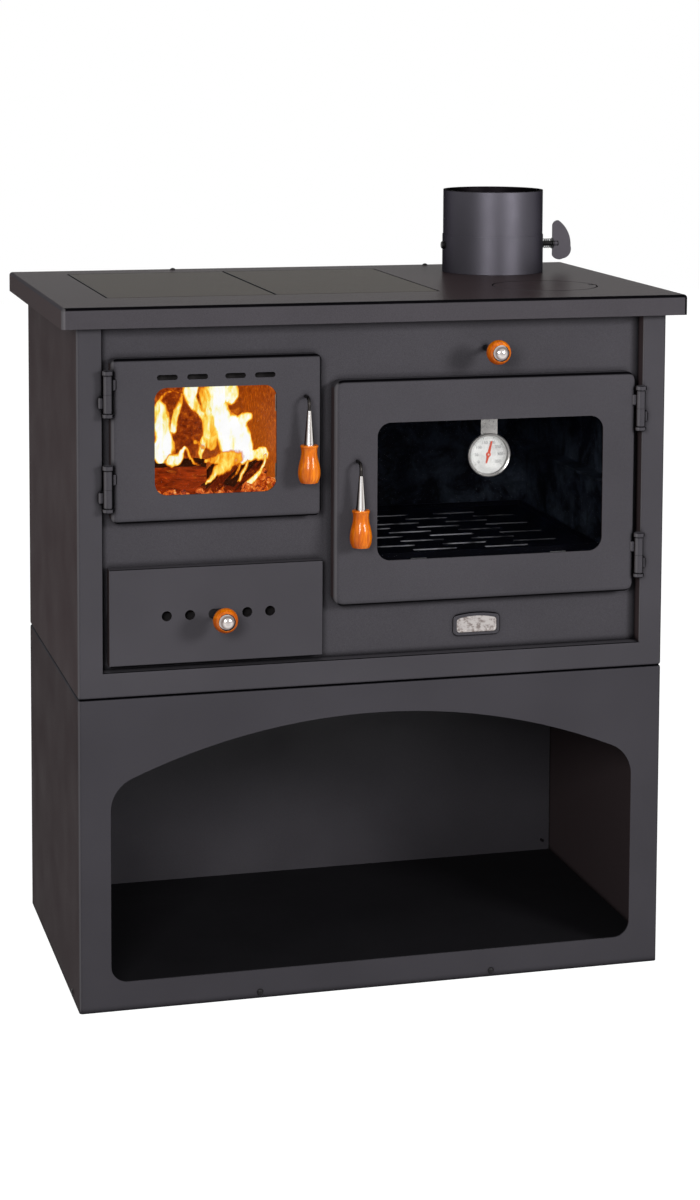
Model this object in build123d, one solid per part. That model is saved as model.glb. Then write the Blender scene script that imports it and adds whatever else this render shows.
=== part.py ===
from build123d import *
from collections import namedtuple
from math import cos, pi, sin, sqrt
import os

# A wood cookstove: a sheet-steel cabinet on an arched plinth, with a firebox, an ash drawer,
# an oven, a cooking top and a flue spigot with a damper. Millimetres. X runs to the right across
# the front, Y runs from the front to the back, Z runs up from the floor.
# While the pieces are built, Y = 0 is the front plane of the cabinet and X = 0 is its middle.
# save() moves every piece back by front_plane, so that the origin is on the floor under the
# middle of the whole stove.

# ---- overall -------------------------------------------------------------------------------
body_width = 734.0
body_depth = 418.0
plinth_height = 382.0
cabinet_height = 468.0            # from the plinth to the cooking surface
sheet = 2.0                       # sheet of the plinth and the cabinet
bend_radius = 4.0                 # outside radius of a bent sheet edge
fold_radius = 3.5                 # outside radius of the folds where plinth and cabinet meet
flange_width = 20.0               # flanges turned inwards along the sheets' edges
top_overhang_side = 20.0
top_overhang_front = 21.0
top_overhang_back = 38.0
seam = 0.4                        # free gap between pieces that only lie beside each other
slip = 0.3                        # clearance of pieces that move past each other
running_fit = 0.05                # radial clearance of a shaft in its bore

# ---- front frame and panel -----------------------------------------------------------------
stile_width = 30.0
bottom_rail_height = 31.0
panel_recess = 18.5
panel_sheet = 3.0
cooling_slot_length = 60.0        # slots in the cabinet's back panel
cooling_slot_width = 6.0
cooling_slot_pitch = 90.0
cooling_slot_margin = 62.0        # rows from the panel's bottom and top
runner_foot = 14.0                # width of the ledges that carry the ash pan

# ---- plinth opening ------------------------------------------------------------------------
arch_side_margin = 38.0
arch_sill_height = 35.0
arch_crown_margin = 37.0          # from the crown up to the plinth's top
arch_radius = 780.0
arch_shoulder_radius = 42.0
arch_foot_radius = 20.0
floor_panel_height = 18.0
screw_head_radius = 4.0
screw_head_height = 2.4
screw_shank_radius = 2.0
screw_shank_length = 6.0
screw_hole_gap = 0.2
floor_screw_height = 7.5
floor_screw_depth = 57.0          # of the two at the plinth's sides
floor_screw_offset = 147.0        # of the two at its front
back_screw_margin = 13.0
back_screw_height = 32.0

# ---- top plate -----------------------------------------------------------------------------
skirt_height = 25.0
top_sheet = 3.0
top_corner_radius = 5.0
cooktop_from_left = 69.0          # from the top plate's left edge
cooktop_from_front = 106.0
cooktop_width = 418.0
cooktop_depth = 320.0
cooktop_corner_radius = 4.0
casting = 8.0                     # thickness of the plates and the lid
casting_bevel = 0.8
plate_gap = 1.5                   # gap around the plates and the lid
ledge_width = 12.0                # ledge under the plates and the lid
rib_width = 6.0
rib_count = 3
rib_end_gap = 4.0                 # from a rib's end to the ledge
lid_from_right = 136.0
lid_from_front = 149.0
lid_radius = 66.0
lift_notch_width = 9.0
lift_notch_depth = 7.0
top_screw_left = 169.0            # the two screws at the top plate's back edge
top_screw_right = 184.0
top_screw_from_back = 12.0

# ---- flue spigot and damper ----------------------------------------------------------------
flue_from_right = 138.0
flue_from_back = 114.5
flue_radius = 67.0                # outside of the spigot's upper part, where the pipe slides on
flue_wall = 2.0
flue_height = 110.0
flue_step_height = 50.0           # the lower part is wider, and stops the pipe
flue_step = 0.8
flue_flange = 6.5
damper_height = 36.0              # spindle above the cooking surface
damper_radius = 62.0
damper_sheet = 2.0
damper_seat_half = 37.0           # half the length of the disc's seat on the spindle
spindle_radius = 3.5
spindle_in_key = 8.0              # how far the spindle reaches into the key
spindle_head_radius = 5.0
spindle_head_length = 4.0
spindle_head_round = 1.5
key_sheet = 2.5
key_above = 31.0
key_below = 21.0
key_width = 26.0
key_start = 17.0                  # from the spigot's wall
spring_wire_radius = 0.6
spring_radius = 6.0
spring_turns = 5
washer_radius = 7.2
washer_sheet = 1.0
rivet_radius = 1.6
rivet_head_radius = 2.7
rivet_head_height = 1.2
rivet_inset = 4.2                 # from the key's inner edge

# ---- hinges --------------------------------------------------------------------------------
barrel_radius = 5.5
barrel_half = 28.2                # length of the sleeve, and of the pintle's body
hinge_cap_radius = 6.8            # caps at both ends
hinge_cap_height = 5.0
hinge_cap_bevel = 1.2
hinge_foot_bevel = 2.6            # rounding of the lower cap
hinge_neck_depth = 0.8            # ring groove next to each cap
hinge_neck_height = 1.4
hinge_pin_radius = 3.0
hinge_pin_length = 22.0
hinge_inset = 5.5                 # axis from the stile's inner edge
hinge_stand = 9.0                 # axis in front of the front plane
door_edge_gap = 4.5               # door edge from the hinge axis
bead_radius = 4.4                 # weld beads on the stile and on the door
bead_length = 15.0
bead_from_end = 10.0              # from the barrel's end
bead_on_stile = 1.0               # bead's middle outside the stile's inner edge
fire_hinge_from_top = 40.5        # middles of the hinges from the doors' edges
fire_hinge_from_bottom = 42.9
oven_hinge_from_top = 45.1
oven_hinge_from_bottom = 46.3

# ---- doors ---------------------------------------------------------------------------------
door_sheet = 2.5
door_stand = 6.0                  # face in front of the front plane
door_edge_radius = 7.0            # pressed round edge
door_back_gap = 4.5               # from the shell's rim to the panel
door_gap = 16.0                   # between the two doors
glass = 4.0
gasket_frame_width = 8.0
rope_width = 5.0
rope_groove = 2.5
glass_lap = 5.0                   # how far the glass reaches past its window
deflector_gap = 8.0               # from the glass to the sheet behind the air slots
deflector_sheet = 2.0
clip_sheet = 1.5
clip_width = 20.0
clip_reach = 6.2
clip_screw_radius = 2.6
clip_screw_height = 2.2

fire_door_width = 254.0
fire_door_below_top = 63.0        # from the cooking surface
fire_door_above_drawer = 55.5
fire_corner_extra = 1.0           # outline's corner radius beyond the pressed edge's
fire_window_left = 51.0           # margins of the window from the door's edges
fire_window_right = 56.0
fire_window_bottom = 32.5
fire_window_top = 35.0
fire_window_corner = 15.0
fire_mouth_left = 24.0            # how much further the firebox mouth reaches than the window
fire_mouth_right = 13.0
fire_mouth_bottom = 12.0
fire_mouth_top = 16.0
fire_mouth_corner = 12.0
air_slot_length = 25.0
air_slot_height = 6.4
air_slot_above_window = 12.2
air_slot_places = (0.104, 0.35, 0.661, 0.905)   # slot centres, as shares of the window's width

oven_door_below_top = 96.0        # from the cooking surface
oven_door_above_rail = 66.0
oven_corner_extra = 5.0
oven_window_left = 52.5
oven_window_right = 43.5
oven_window_bottom = 54.0
oven_window_top = 52.5
oven_window_corner = 17.0
oven_mouth_left = 10.5
oven_mouth_right = 24.5
oven_mouth_bottom = 31.0
oven_mouth_top = 31.5
oven_mouth_corner = 14.0

# ---- door handles --------------------------------------------------------------------------
fire_handle_from_edge = 20.5      # from the door's free edge
oven_handle_from_edge = 27.5
fire_handle_from_top = 50.0
oven_handle_from_top = 98.0
rod_radius = 2.0
rod_bend_radius = 9.0
grip_stand = 18.0                 # grip's axis in front of the door's face
ferrule_drop = 15.0               # from the spindle down to the ferrule
ferrule_length = 41.0
ferrule_tip_radius = 2.5
ferrule_base_radius = 6.0
ferrule_rim = 1.5                 # straight part at its lower end
grip_length = 45.2
grip_neck_radius = 9.8
grip_waist_radius = 12.0          # halfway between the neck and the bulge
grip_bead_radius = 10.8
grip_bead_height = 3.0
grip_bulge_radius = 13.4
grip_foot_radius = 10.6
bush_radius = 5.5
bush_length = 9.0
cam_sheet = 3.0
cam_behind_panel = 1.5
cam_hub_radius = 6.0
cam_nose_length = 11.0
cam_nose_width = 8.4
latch_slot_reach = 16.0           # slot edge from the spindle, on the nose's sides
latch_slot_back = 7.5             # slot edge from the spindle, on the other sides
latch_slot_corner = 2.0

# ---- knobs ---------------------------------------------------------------------------------
knob_reach = 56.0                 # from the drawer's face to the cap's front
draught_knob_reach = 68.5         # from the front panel to the cap's front
knob_radius = 15.0
knob_length = 21.0
knob_neck_radius = 7.5
knob_cap_radius = 10.0
knob_flat_margin = 1.0            # knob's flat front around the cap
knob_cap_height = 7.0
knob_cap_rim = 1.5
knob_widest = 0.55                # share of the knob's length, from its back
stem_radius = 3.5

# ---- ash drawer and air register -----------------------------------------------------------
drawer_past_door = 3.0            # right edge beyond the firebox door's
drawer_height = 116.0
drawer_above_rail = 7.0
drawer_side_gap = 7.5             # from the stile
drawer_edge_radius = 1.5
drawer_rim_gap = 2.5              # from the drawer front's rim to the panel
drawer_mouth_margin = 7.5
drawer_mouth_corner = 4.0
pan_gap = 4.0                     # around the pan in its mouth
pan_sheet = 1.5
pan_depth = 330.0
pan_corner = 4.0
pan_air_height = 46.0             # open part of the pan's front wall
air_hole_radius = 6.1
air_hole_places = (-62.8, -34.8, 34.8, 62.8)    # from the knob's stem
knob_right_of_middle = 1.65
air_holes_below_middle = 0.2
register_travel_left = 8.6
register_travel_right = 12.8      # closes the holes
register_width = 164.0
register_height = 26.0
guide_sheet = 1.5
guide_lip = 3.0                   # how far a guide's lip reaches over the register

# ---- firebox -------------------------------------------------------------------------------
firebox_sheet = 3.0
firebox_side_gap = 37.0           # outside of the left wall from the cabinet's side
firebox_past_latch = 8.5          # inside of the right wall from the latch slot
firebox_depth = 346.0
hearth_below_mouth = 34.0
brick = 25.0
brick_height = 185.0
brick_front = 34.0                # depth at which the bricks start
brick_bevel = 2.0
grate_width = 130.0
grate_depth = 230.0
grate_thickness = 14.0
grate_rim = 9.0
grate_bar = 5.4                   # between two slots
grate_slots = 7
grate_lap = 8.0                   # how far it reaches past its seat
guard_height = 38.0
guard_sheet = 4.0
guard_slot_length = 30.0
guard_slot_height = 8.0
guard_slot_pitch = 50.0

# ---- oven ----------------------------------------------------------------------------------
oven_wall_margin = 6.0            # oven walls outside the mouth
oven_depth = 363.0
shelf_height = 26.0               # shelf above the oven's floor
shelf_front = 50.0
shelf_length = 320.0
shelf_side_margin = 6.0           # shelf edges inside the mouth
shelf_sheet = 1.5
shelf_rim = 8.0
shelf_corner = 6.0
shelf_slot_length = 58.0
shelf_slot_width = 9.0
shelf_slot_pitch_x = 94.0
shelf_slot_pitch_y = 29.0
shelf_slot_margin = 10.0          # plain sheet left beside the slots
rail_height = 3.0
rail_gap = 92.0                   # between the two pairs of shelf rails
rail_lap = 12.0                   # rails under the shelf's edges
rail_past_shelf = 10.0            # rails in front of the shelf

# ---- thermometer ---------------------------------------------------------------------------
dial_radius = 27.0
dial_from_window_left = 144.0     # as seen from the front
dial_from_window_top = 45.5
dial_depth = 11.0
dial_rim = 3.0
dial_floor = 4.0                  # the case's floor is a thick plate
lens_thickness = 1.0
lens_depth = 1.2                  # behind the rim's front
dial_sheet = 0.8
pointer_length = 17.0
pointer_tail = 11.0
pointer_root = 1.7                # half widths at the hub, the tip and the tail's end
pointer_tip = 0.9
pointer_tail_tip = 0.7
arbor_radius = 1.0
strip_width = 21.0
strip_sheet = 1.0
strip_foot = 8.0
case_wall = 1.5
case_bevel = 2.0
bezel_bevel = 1.0
pointer_hub_radius = 3.0
pointer_sheet = 0.6
pointer_tilt = 14.0               # degrees to the right of straight up

# ---- direct-draught control ----------------------------------------------------------------
draught_from_flue = 110.5         # rod to the left of the spigot's axis
draught_below_top = 63.5
draught_travel = 60.0
baffle_sheet = 3.0
draught_opening_width = 150.0
draught_opening_depth = 54.0
draught_plate_sheet = 3.0
draught_plate_lap = 8.0           # past the opening's edges
draught_plate_left = 12.0         # past the rod
draught_bush_wall = 2.5
draught_bush_length = 8.0
draught_rod_end = 5.0             # past the opening

# ---- badge ---------------------------------------------------------------------------------
badge_width = 51.0
badge_height = 20.0
badge_crown = 3.5                 # rise of its arched top edge
badge_corner_radius = 4.0
badge_rim = 2.2
badge_recess = 0.6                # field behind its rim
badge_seat = 4.5                  # width of the raised seat around it
badge_thickness = 2.0
badge_seat_rise = 0.8             # seat's height above the badge
badge_from_middle = 129.5
badge_above_rail = 31.0

# ---- worked-out sizes ----------------------------------------------------------------------
Area = namedtuple("Area", "left right bottom top")

body_half = body_width / 2
stove_height = plinth_height + cabinet_height
top_left = -body_half - top_overhang_side
top_right = body_half + top_overhang_side
top_front = -top_overhang_front
top_back = body_depth + top_overhang_back
knob_tip = -knob_reach
draught_tip = panel_recess - draught_knob_reach
front_plane = -(top_back + min(knob_tip, draught_tip)) / 2

stile_inner = body_half - stile_width
rail_top = plinth_height + bottom_rail_height
panel_back = panel_recess + panel_sheet
under_top = stove_height - top_sheet
door_face = -door_stand
door_rim = panel_recess - door_back_gap
hinge_x = stile_inner - hinge_inset
hinge_y = -hinge_stand

fire_door_left = -hinge_x + door_edge_gap
fire_door_right = fire_door_left + fire_door_width
drawer = Area(
    -stile_inner + drawer_side_gap,
    fire_door_right + drawer_past_door,
    rail_top + drawer_above_rail,
    rail_top + drawer_above_rail + drawer_height,
)
fire_door = Area(
    fire_door_left,
    fire_door_right,
    drawer.top + fire_door_above_drawer,
    stove_height - fire_door_below_top,
)
oven_door = Area(
    fire_door_right + door_gap,
    hinge_x - door_edge_gap,
    rail_top + oven_door_above_rail,
    stove_height - oven_door_below_top,
)
fire_door_corner = door_edge_radius + fire_corner_extra
oven_door_corner = door_edge_radius + oven_corner_extra


def inset(area, left, right, bottom, top):
    """The area with its four edges moved inwards."""
    return Area(area.left + left, area.right - right, area.bottom + bottom, area.top - top)


def grown(area, margin):
    """The area with its four edges moved outwards."""
    return inset(area, -margin, -margin, -margin, -margin)


fire_window = inset(
    fire_door, fire_window_left, fire_window_right, fire_window_bottom, fire_window_top
)
fire_mouth = inset(
    fire_window, -fire_mouth_left, -fire_mouth_right, -fire_mouth_bottom, -fire_mouth_top
)
oven_window = inset(
    oven_door, oven_window_left, oven_window_right, oven_window_bottom, oven_window_top
)
oven_mouth = inset(
    oven_window, -oven_mouth_left, -oven_mouth_right, -oven_mouth_bottom, -oven_mouth_top
)
drawer_mouth = grown(drawer, -drawer_mouth_margin)
pan = grown(drawer_mouth, -pan_gap)
oven_inside = grown(oven_mouth, oven_wall_margin)
oven_back = panel_back + oven_depth

fire_handle = (fire_door.right - fire_handle_from_edge, fire_door.top - fire_handle_from_top)
oven_handle = (oven_door.left + oven_handle_from_edge, oven_door.top - oven_handle_from_top)

firebox_left = -body_half + firebox_side_gap
firebox_right = fire_handle[0] + latch_slot_reach + firebox_past_latch + firebox_sheet
firebox_back = panel_back + firebox_depth
hearth_top = fire_mouth.bottom - hearth_below_mouth
cabinet_floor = plinth_height + 2 * sheet

cooktop = Area(
    top_left + cooktop_from_left,
    top_left + cooktop_from_left + cooktop_width,
    top_front + cooktop_from_front,
    top_front + cooktop_from_front + cooktop_depth,
)
lid_x = top_right - lid_from_right
lid_y = top_front + lid_from_front
flue_x = top_right - flue_from_right
flue_y = top_back - flue_from_back
damper_z = stove_height + damper_height

dial_x = oven_window.left + dial_from_window_left
dial_z = oven_window.top - dial_from_window_top
glass_front = door_face + door_sheet + slip
glass_back = glass_front + glass
dial_front = glass_back + slip

knob_x = (drawer.left + drawer.right) / 2 + knob_right_of_middle
knob_z = (drawer.bottom + drawer.top) / 2 - air_holes_below_middle
draught_x = flue_x - draught_from_flue
draught_z = stove_height - draught_below_top
baffle_top = draught_z - stem_radius - draught_plate_sheet - slip
badge_z = rail_top + badge_above_rail


# ---- shared forms --------------------------------------------------------------------------
def block(x, y, z):
    """A box from three pairs of lowest and highest values."""
    middle = Pos((x[0] + x[1]) / 2, (y[0] + y[1]) / 2, (z[0] + z[1]) / 2)
    return middle * Box(x[1] - x[0], y[1] - y[0], z[1] - z[0])


def facing(x, y, z):
    """A plane that looks out of the stove's front, with its X to the right and its Y up."""
    return Plane(origin=(x, y, z), x_dir=(1, 0, 0), z_dir=(0, -1, 0))


def upright(area, front, back, corner=0.0):
    """A plate that stands across the stove, from one depth to another."""
    width = area.right - area.left
    height = area.top - area.bottom
    outline = RectangleRounded(width, height, corner) if corner else Rectangle(width, height)
    middle = facing((area.left + area.right) / 2, front, (area.bottom + area.top) / 2)
    return extrude(middle * outline, amount=-(back - front))


def lying(area, low, high, corner=0.0):
    """A flat plate. The area's bottom and top are its front and back edges."""
    width = area.right - area.left
    depth = area.top - area.bottom
    outline = RectangleRounded(width, depth, corner) if corner else Rectangle(width, depth)
    middle = Pos((area.left + area.right) / 2, (area.bottom + area.top) / 2, low)
    return extrude(middle * outline, amount=high - low)


def bar_y(x, z, radius, front, back):
    """A round bar from front to back."""
    return extrude(facing(x, front, z) * Circle(radius), amount=-(back - front))


def bar_x(y, z, radius, left, right):
    """A round bar from left to right."""
    start = Plane(origin=(left, y, z), x_dir=(0, 1, 0), z_dir=(1, 0, 0))
    return extrude(start * Circle(radius), amount=right - left)


def bar_z(x, y, radius, low, high):
    """A round upright bar."""
    return extrude(Pos(x, y, low) * Circle(radius), amount=high - low)


def turned(outline):
    """A round solid about Z from its half outline, given as radius and height."""
    return revolve(Plane.XZ * make_face(outline), axis=Axis.Z)


def round_front_edges(solid, radius):
    """Rounds the outline of the solid's front face."""
    return fillet(solid.faces().sort_by(Axis.Y)[0].edges(), radius)


def domed(radius, rim, height):
    """A round disc on Z = 0, with a short upright rim under a domed face."""
    rise = height - rim
    ball_radius = (radius**2 + rise**2) / (2 * rise)
    ball = Pos(0, 0, height - ball_radius) * Sphere(ball_radius)
    return ball & Pos(0, 0, height / 2) * Cylinder(radius, height)


def screw_head():
    """A round screw head with its shank, standing on Z = 0."""
    head = domed(screw_head_radius, 0, screw_head_height)
    return head + bar_z(0, 0, screw_shank_radius, -screw_shank_length, 0)


screw_hole_radius = screw_shank_radius + screw_hole_gap


# ---- plinth --------------------------------------------------------------------------------
def arch_opening():
    """The arched opening of the plinth's front: a flat arch, with rounded shoulders and feet."""
    crown = plinth_height - arch_crown_margin
    height = crown - arch_sill_height
    gate = Pos(0, (arch_sill_height + crown) / 2) * Rectangle(body_width - 2 * arch_side_margin, height)
    outline = gate & Pos(0, crown - arch_radius) * Circle(arch_radius)
    corners = outline.vertices().sort_by(Axis.Y)
    outline = fillet(corners[:2], arch_foot_radius)
    shoulders = [v for v in outline.vertices() if v.Y > arch_sill_height + height / 2]
    outer = sorted(shoulders, key=lambda v: -abs(v.X))[:2]
    outline = fillet(outer, arch_shoulder_radius)
    return extrude(facing(0, -1, 0) * outline, amount=-(sheet + 2))


def wrap(bottom, top):
    """A sheet bent round the front and both sides, open at the back, the top and the bottom."""
    outer = block((-body_half, body_half), (0, body_depth), (bottom, top))
    corners = outer.edges().filter_by(Axis.Z).sort_by(Axis.Y)[:2]
    outer = fillet(corners, bend_radius)
    inside = (-body_half + sheet, body_half - sheet)
    return outer - block(inside, (sheet, body_depth + 1), (bottom - 1, top + 1))


def turned_flange(low, high):
    """A flange that runs inwards along the front and both sides."""
    outer = block((-body_half, body_half), (0, body_depth), (low, high))
    outer = fillet(outer.edges().filter_by(Axis.Z).sort_by(Axis.Y)[:2], bend_radius)
    hole = (-body_half + flange_width, body_half - flange_width)
    return outer - block(hole, (flange_width, body_depth + 1), (low - 1, high + 1))


def outer_edges(solid, height):
    """The front and side edges of a wrapped sheet at one height."""
    found = []
    for edge in solid.edges():
        box = edge.bounding_box()
        flat = box.max.Z - box.min.Z < 1e-6 and abs(box.min.Z - height) < 1e-6
        outside = box.min.Y < bend_radius + 1e-6 and box.max.Y < bend_radius + 1e-6
        side = abs(abs(box.min.X) - body_half) < 1e-6 and abs(abs(box.max.X) - body_half) < 1e-6
        if flat and (side or (outside and box.min.Y < sheet - 1e-6)):
            found.append(edge)
    return found


def plinth_shell():
    shell = wrap(0, plinth_height) + turned_flange(plinth_height - sheet, plinth_height)
    shell = fillet(outer_edges(shell, plinth_height), fold_radius)
    shell -= arch_opening()
    return shell - floor_screw_holes()


def floor_screw_holes():
    """Holes for the screws that hold the floor tray: two at the front, one at each side."""
    holes = []
    for side in (-1, 1):
        holes.append(bar_y(side * floor_screw_offset, floor_screw_height, screw_hole_radius,
                           -1, 3 * sheet))
        edges = sorted((side * (body_half + 1), side * (body_half - 3 * sheet)))
        holes.append(bar_x(floor_screw_depth, floor_screw_height, screw_hole_radius, *edges))
    return holes


def plinth_floor():
    """A tray turned down and in again at its edges, held by the plinth's screws."""
    inside = body_half - sheet - seam
    outer = block((-inside, inside), (sheet + seam, body_depth - sheet - seam), (0, floor_panel_height))
    inner = (-inside + sheet, inside - sheet)
    depths = (2 * sheet + seam, body_depth - 2 * sheet - seam)
    tray = outer - block(inner, depths, (sheet, floor_panel_height - sheet))
    hole = (-inside + flange_width, inside - flange_width)
    tray -= block(hole, (flange_width, body_depth - flange_width), (-1, sheet + 1))
    return tray - floor_screw_holes()


def plinth_back():
    """The back panel closes the plinth behind the floor tray, with its top turned forwards."""
    inside = body_half - sheet - seam
    span = (-inside, inside)
    low = seam
    high = plinth_height - sheet - seam
    panel = block(span, (body_depth - sheet, body_depth), (low, high))
    panel += block(span, (body_depth - flange_width, body_depth), (high - sheet, high))
    for x, z in back_screw_places():
        panel -= bar_y(x, z, screw_hole_radius, body_depth - 2 * sheet, body_depth + 1)
    return panel


def back_screw_places():
    """Two screws low on the plinth's back panel, and four on the cabinet's."""
    x = body_half - back_screw_margin
    low = cabinet_floor + back_screw_height
    high = under_top - back_screw_height
    plinth = [(-x, back_screw_height), (x, back_screw_height)]
    return plinth + [(-x, low), (x, low), (-x, high), (x, high)]


def top_screw_places():
    y = top_back - top_screw_from_back
    return [(-top_screw_left, y), (top_screw_right, y)]


def panel_screws():
    """All the round-head screws: plinth front and sides, back panels, top plate."""
    screws = []
    for side in (-1, 1):
        forwards = facing(side * floor_screw_offset, 0, floor_screw_height)
        screws.append(forwards.location * screw_head())
        outwards = Plane(origin=(side * body_half, floor_screw_depth, floor_screw_height),
                         z_dir=(side, 0, 0))
        screws.append(outwards.location * screw_head())
    for x, z in back_screw_places():
        backwards = Plane(origin=(x, body_depth, z), z_dir=(0, 1, 0))
        screws.append(backwards.location * screw_head())
    for x, y in top_screw_places():
        screws.append(Pos(x, y, stove_height) * screw_head())
    return Compound(children=[Compound(screw.solids()) for screw in screws])


# ---- cabinet -------------------------------------------------------------------------------
def casing_shell():
    """The cabinet's sides with the front frame: stiles and bottom rail, turned inwards."""
    bottom = plinth_height
    shell = wrap(bottom, under_top) + turned_flange(bottom, bottom + sheet)
    frame = (-stile_inner, stile_inner)
    shell -= block(frame, (-1, sheet + 1), (rail_top, under_top + 1))
    shell -= block(frame, (sheet + 0.5, flange_width + 1), (rail_top - 1, under_top + 1))
    for side in (-1, 1):
        edges = sorted((side * stile_inner, side * (stile_inner + sheet)))
        shell += block(edges, (0, panel_recess), (rail_top - sheet, under_top))
    shell += block((-stile_inner - sheet, stile_inner + sheet), (0, panel_recess),
                   (rail_top - sheet, rail_top))
    shell = fillet(outer_edges(shell, bottom), fold_radius)
    return fillet(frame_edges(shell), sheet)


def frame_edges(shell):
    """The front edges of the frame's opening."""
    found = []
    for edge in shell.edges():
        box = edge.bounding_box()
        front = abs(box.min.Y) < 1e-6 and abs(box.max.Y) < 1e-6
        inside = max(abs(box.min.X), abs(box.max.X)) < stile_inner + 1e-6
        if front and inside and box.min.Z > rail_top - 1e-6:
            found.append(edge)
    return found


def casing_base():
    """The cabinet's bottom sheet, with the two runners that carry the ash pan."""
    inside = body_half - sheet - seam
    base = block((-inside, inside), (sheet + seam, body_depth - sheet - seam),
                 (plinth_height + sheet, cabinet_floor))
    runner_top = pan.bottom - slip
    for edge, inward in ((pan.left, 1), (pan.right, -1)):
        outside = edge - inward * sheet
        foot = sorted((outside, outside + inward * runner_foot))
        depth = (panel_back + seam, firebox_back - firebox_sheet - seam)
        base += block(sorted((outside, edge)), depth, (cabinet_floor, runner_top))
        base += block(foot, depth, (runner_top - sheet, runner_top))
    return base


def casing_back():
    """The cabinet's back panel, with two rows of cooling slots."""
    inside = body_half - sheet - seam
    panel = block((-inside, inside), (body_depth - sheet, body_depth), (cabinet_floor, under_top))
    for z in (cabinet_floor + cooling_slot_margin, under_top - cooling_slot_margin):
        for step in range(-3, 4):
            slot = facing(step * cooling_slot_pitch, body_depth - 2 * sheet, z)
            slot *= SlotOverall(cooling_slot_length, cooling_slot_width)
            panel -= extrude(slot, amount=-4 * sheet)
    for x, z in back_screw_places():
        panel -= bar_y(x, z, screw_hole_radius, body_depth - 2 * sheet, body_depth + 1)
    return panel


def badge_outline(margin):
    """The badge's outline: upright ends, and top and bottom edges that rise in the middle."""
    half = badge_width / 2 + margin
    low = -badge_height / 2 - margin
    high = badge_height / 2 + margin - badge_crown
    edges = [
        Line((-half, low), (-half, high)),
        ThreePointArc((-half, high), (0, high + badge_crown), (half, high)),
        Line((half, high), (half, low)),
        Line((half, low), (-half, low)),
    ]
    outline = make_face(edges)
    return fillet(outline.vertices(), badge_corner_radius + margin / 2)


def latch_slot(handle, side):
    """The hole in the front panel that a latch cam passes through. Its nose points to a side."""
    x, z = handle
    edges = sorted((x + side * latch_slot_reach, x - side * latch_slot_back))
    area = Area(edges[0], edges[1], z - latch_slot_reach, z + latch_slot_back)
    return upright(area, panel_recess - 1, panel_back + 1, latch_slot_corner)


def front_panel():
    """The recessed front, with the three mouths, the latch slots and the badge's raised seat."""
    inside = body_half - sheet - seam
    panel = upright(Area(-inside, inside, cabinet_floor, under_top), panel_recess, panel_back)
    seat = facing(badge_from_middle, panel_recess, badge_z)
    raised = extrude(seat * badge_outline(badge_seat), amount=badge_thickness + badge_seat_rise)
    raised = fillet(raised.faces().sort_by(Axis.Y)[0].edges(), badge_thickness)
    panel += raised
    panel -= extrude(seat * badge_outline(slip), amount=badge_thickness + badge_seat_rise + 1)
    for mouth, corner in (
        (fire_mouth, fire_mouth_corner),
        (oven_mouth, oven_mouth_corner),
        (drawer_mouth, drawer_mouth_corner),
    ):
        panel -= upright(mouth, panel_recess - 1, panel_back + 1, corner)
    panel -= latch_slot(fire_handle, 1)
    panel -= latch_slot(oven_handle, -1)
    bush_end = panel_back + draught_bush_length
    panel += bar_y(draught_x, draught_z, stem_radius + draught_bush_wall, panel_recess, bush_end)
    return panel - bar_y(draught_x, draught_z, stem_radius + running_fit, panel_recess - 1, bush_end + 1)


def badge_plate():
    """A bare plate with a raised rim."""
    seat = facing(badge_from_middle, panel_recess, badge_z)
    plate = extrude(seat * badge_outline(0), amount=badge_thickness)
    field = seat.offset(badge_thickness - badge_recess) * badge_outline(-badge_rim)
    return plate - extrude(field, amount=badge_thickness)


# ---- top -----------------------------------------------------------------------------------
def top_plate():
    """The top sheet with its turned-down skirt, and ledges that the plates and the lid rest on."""
    area = Area(top_left, top_right, top_front, top_back)
    top = lying(area, stove_height - skirt_height, stove_height, top_corner_radius)
    top = fillet(top.faces().sort_by(Axis.Z)[-1].edges(), bend_radius)
    inside = grown(area, -top_sheet)
    top -= lying(inside, stove_height - skirt_height - 1, under_top, top_corner_radius - top_sheet)
    ledge_top = stove_height - casting - slip
    low = ledge_top - top_sheet
    seat = grown(cooktop, top_sheet)
    top += lying(seat, low, under_top)
    top -= lying(cooktop, ledge_top, stove_height + 1, cooktop_corner_radius)
    top -= lying(grown(cooktop, -ledge_width), low - 1, stove_height + 1)
    top += bar_z(lid_x, lid_y, lid_radius + plate_gap + top_sheet, low, under_top)
    top -= bar_z(lid_x, lid_y, lid_radius + plate_gap, ledge_top, stove_height + 1)
    top -= bar_z(lid_x, lid_y, lid_radius - ledge_width, low - 1, stove_height + 1)
    top -= bar_z(flue_x, flue_y, flue_radius + flue_step, under_top - 1, stove_height + 1)
    for x, y in top_screw_places():
        top -= bar_z(x, y, screw_hole_radius, under_top - 1, stove_height + 1)
    return top


def cooktop_plate(side):
    """One half of the cooktop: a casting with chamfered edges and a ribbed underside."""
    middle = (cooktop.left + cooktop.right) / 2
    left = cooktop.left + plate_gap if side < 0 else middle + plate_gap / 2
    right = middle - plate_gap / 2 if side < 0 else cooktop.right - plate_gap
    area = Area(left, right, cooktop.bottom + plate_gap, cooktop.top - plate_gap)
    plate = lying(area, stove_height - casting, stove_height, cooktop_corner_radius - plate_gap)
    plate = chamfer(plate.faces().sort_by(Axis.Z)[-1].edges(), casting_bevel)
    reach = grown(area, -ledge_width - rib_end_gap)
    for rib in range(1, rib_count + 1):
        x = reach.left + (reach.right - reach.left) * rib / (rib_count + 1)
        strip = Area(x - rib_width / 2, x + rib_width / 2, reach.bottom, reach.top)
        plate += lying(strip, stove_height - 2 * casting, stove_height - casting)
    return plate


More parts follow.
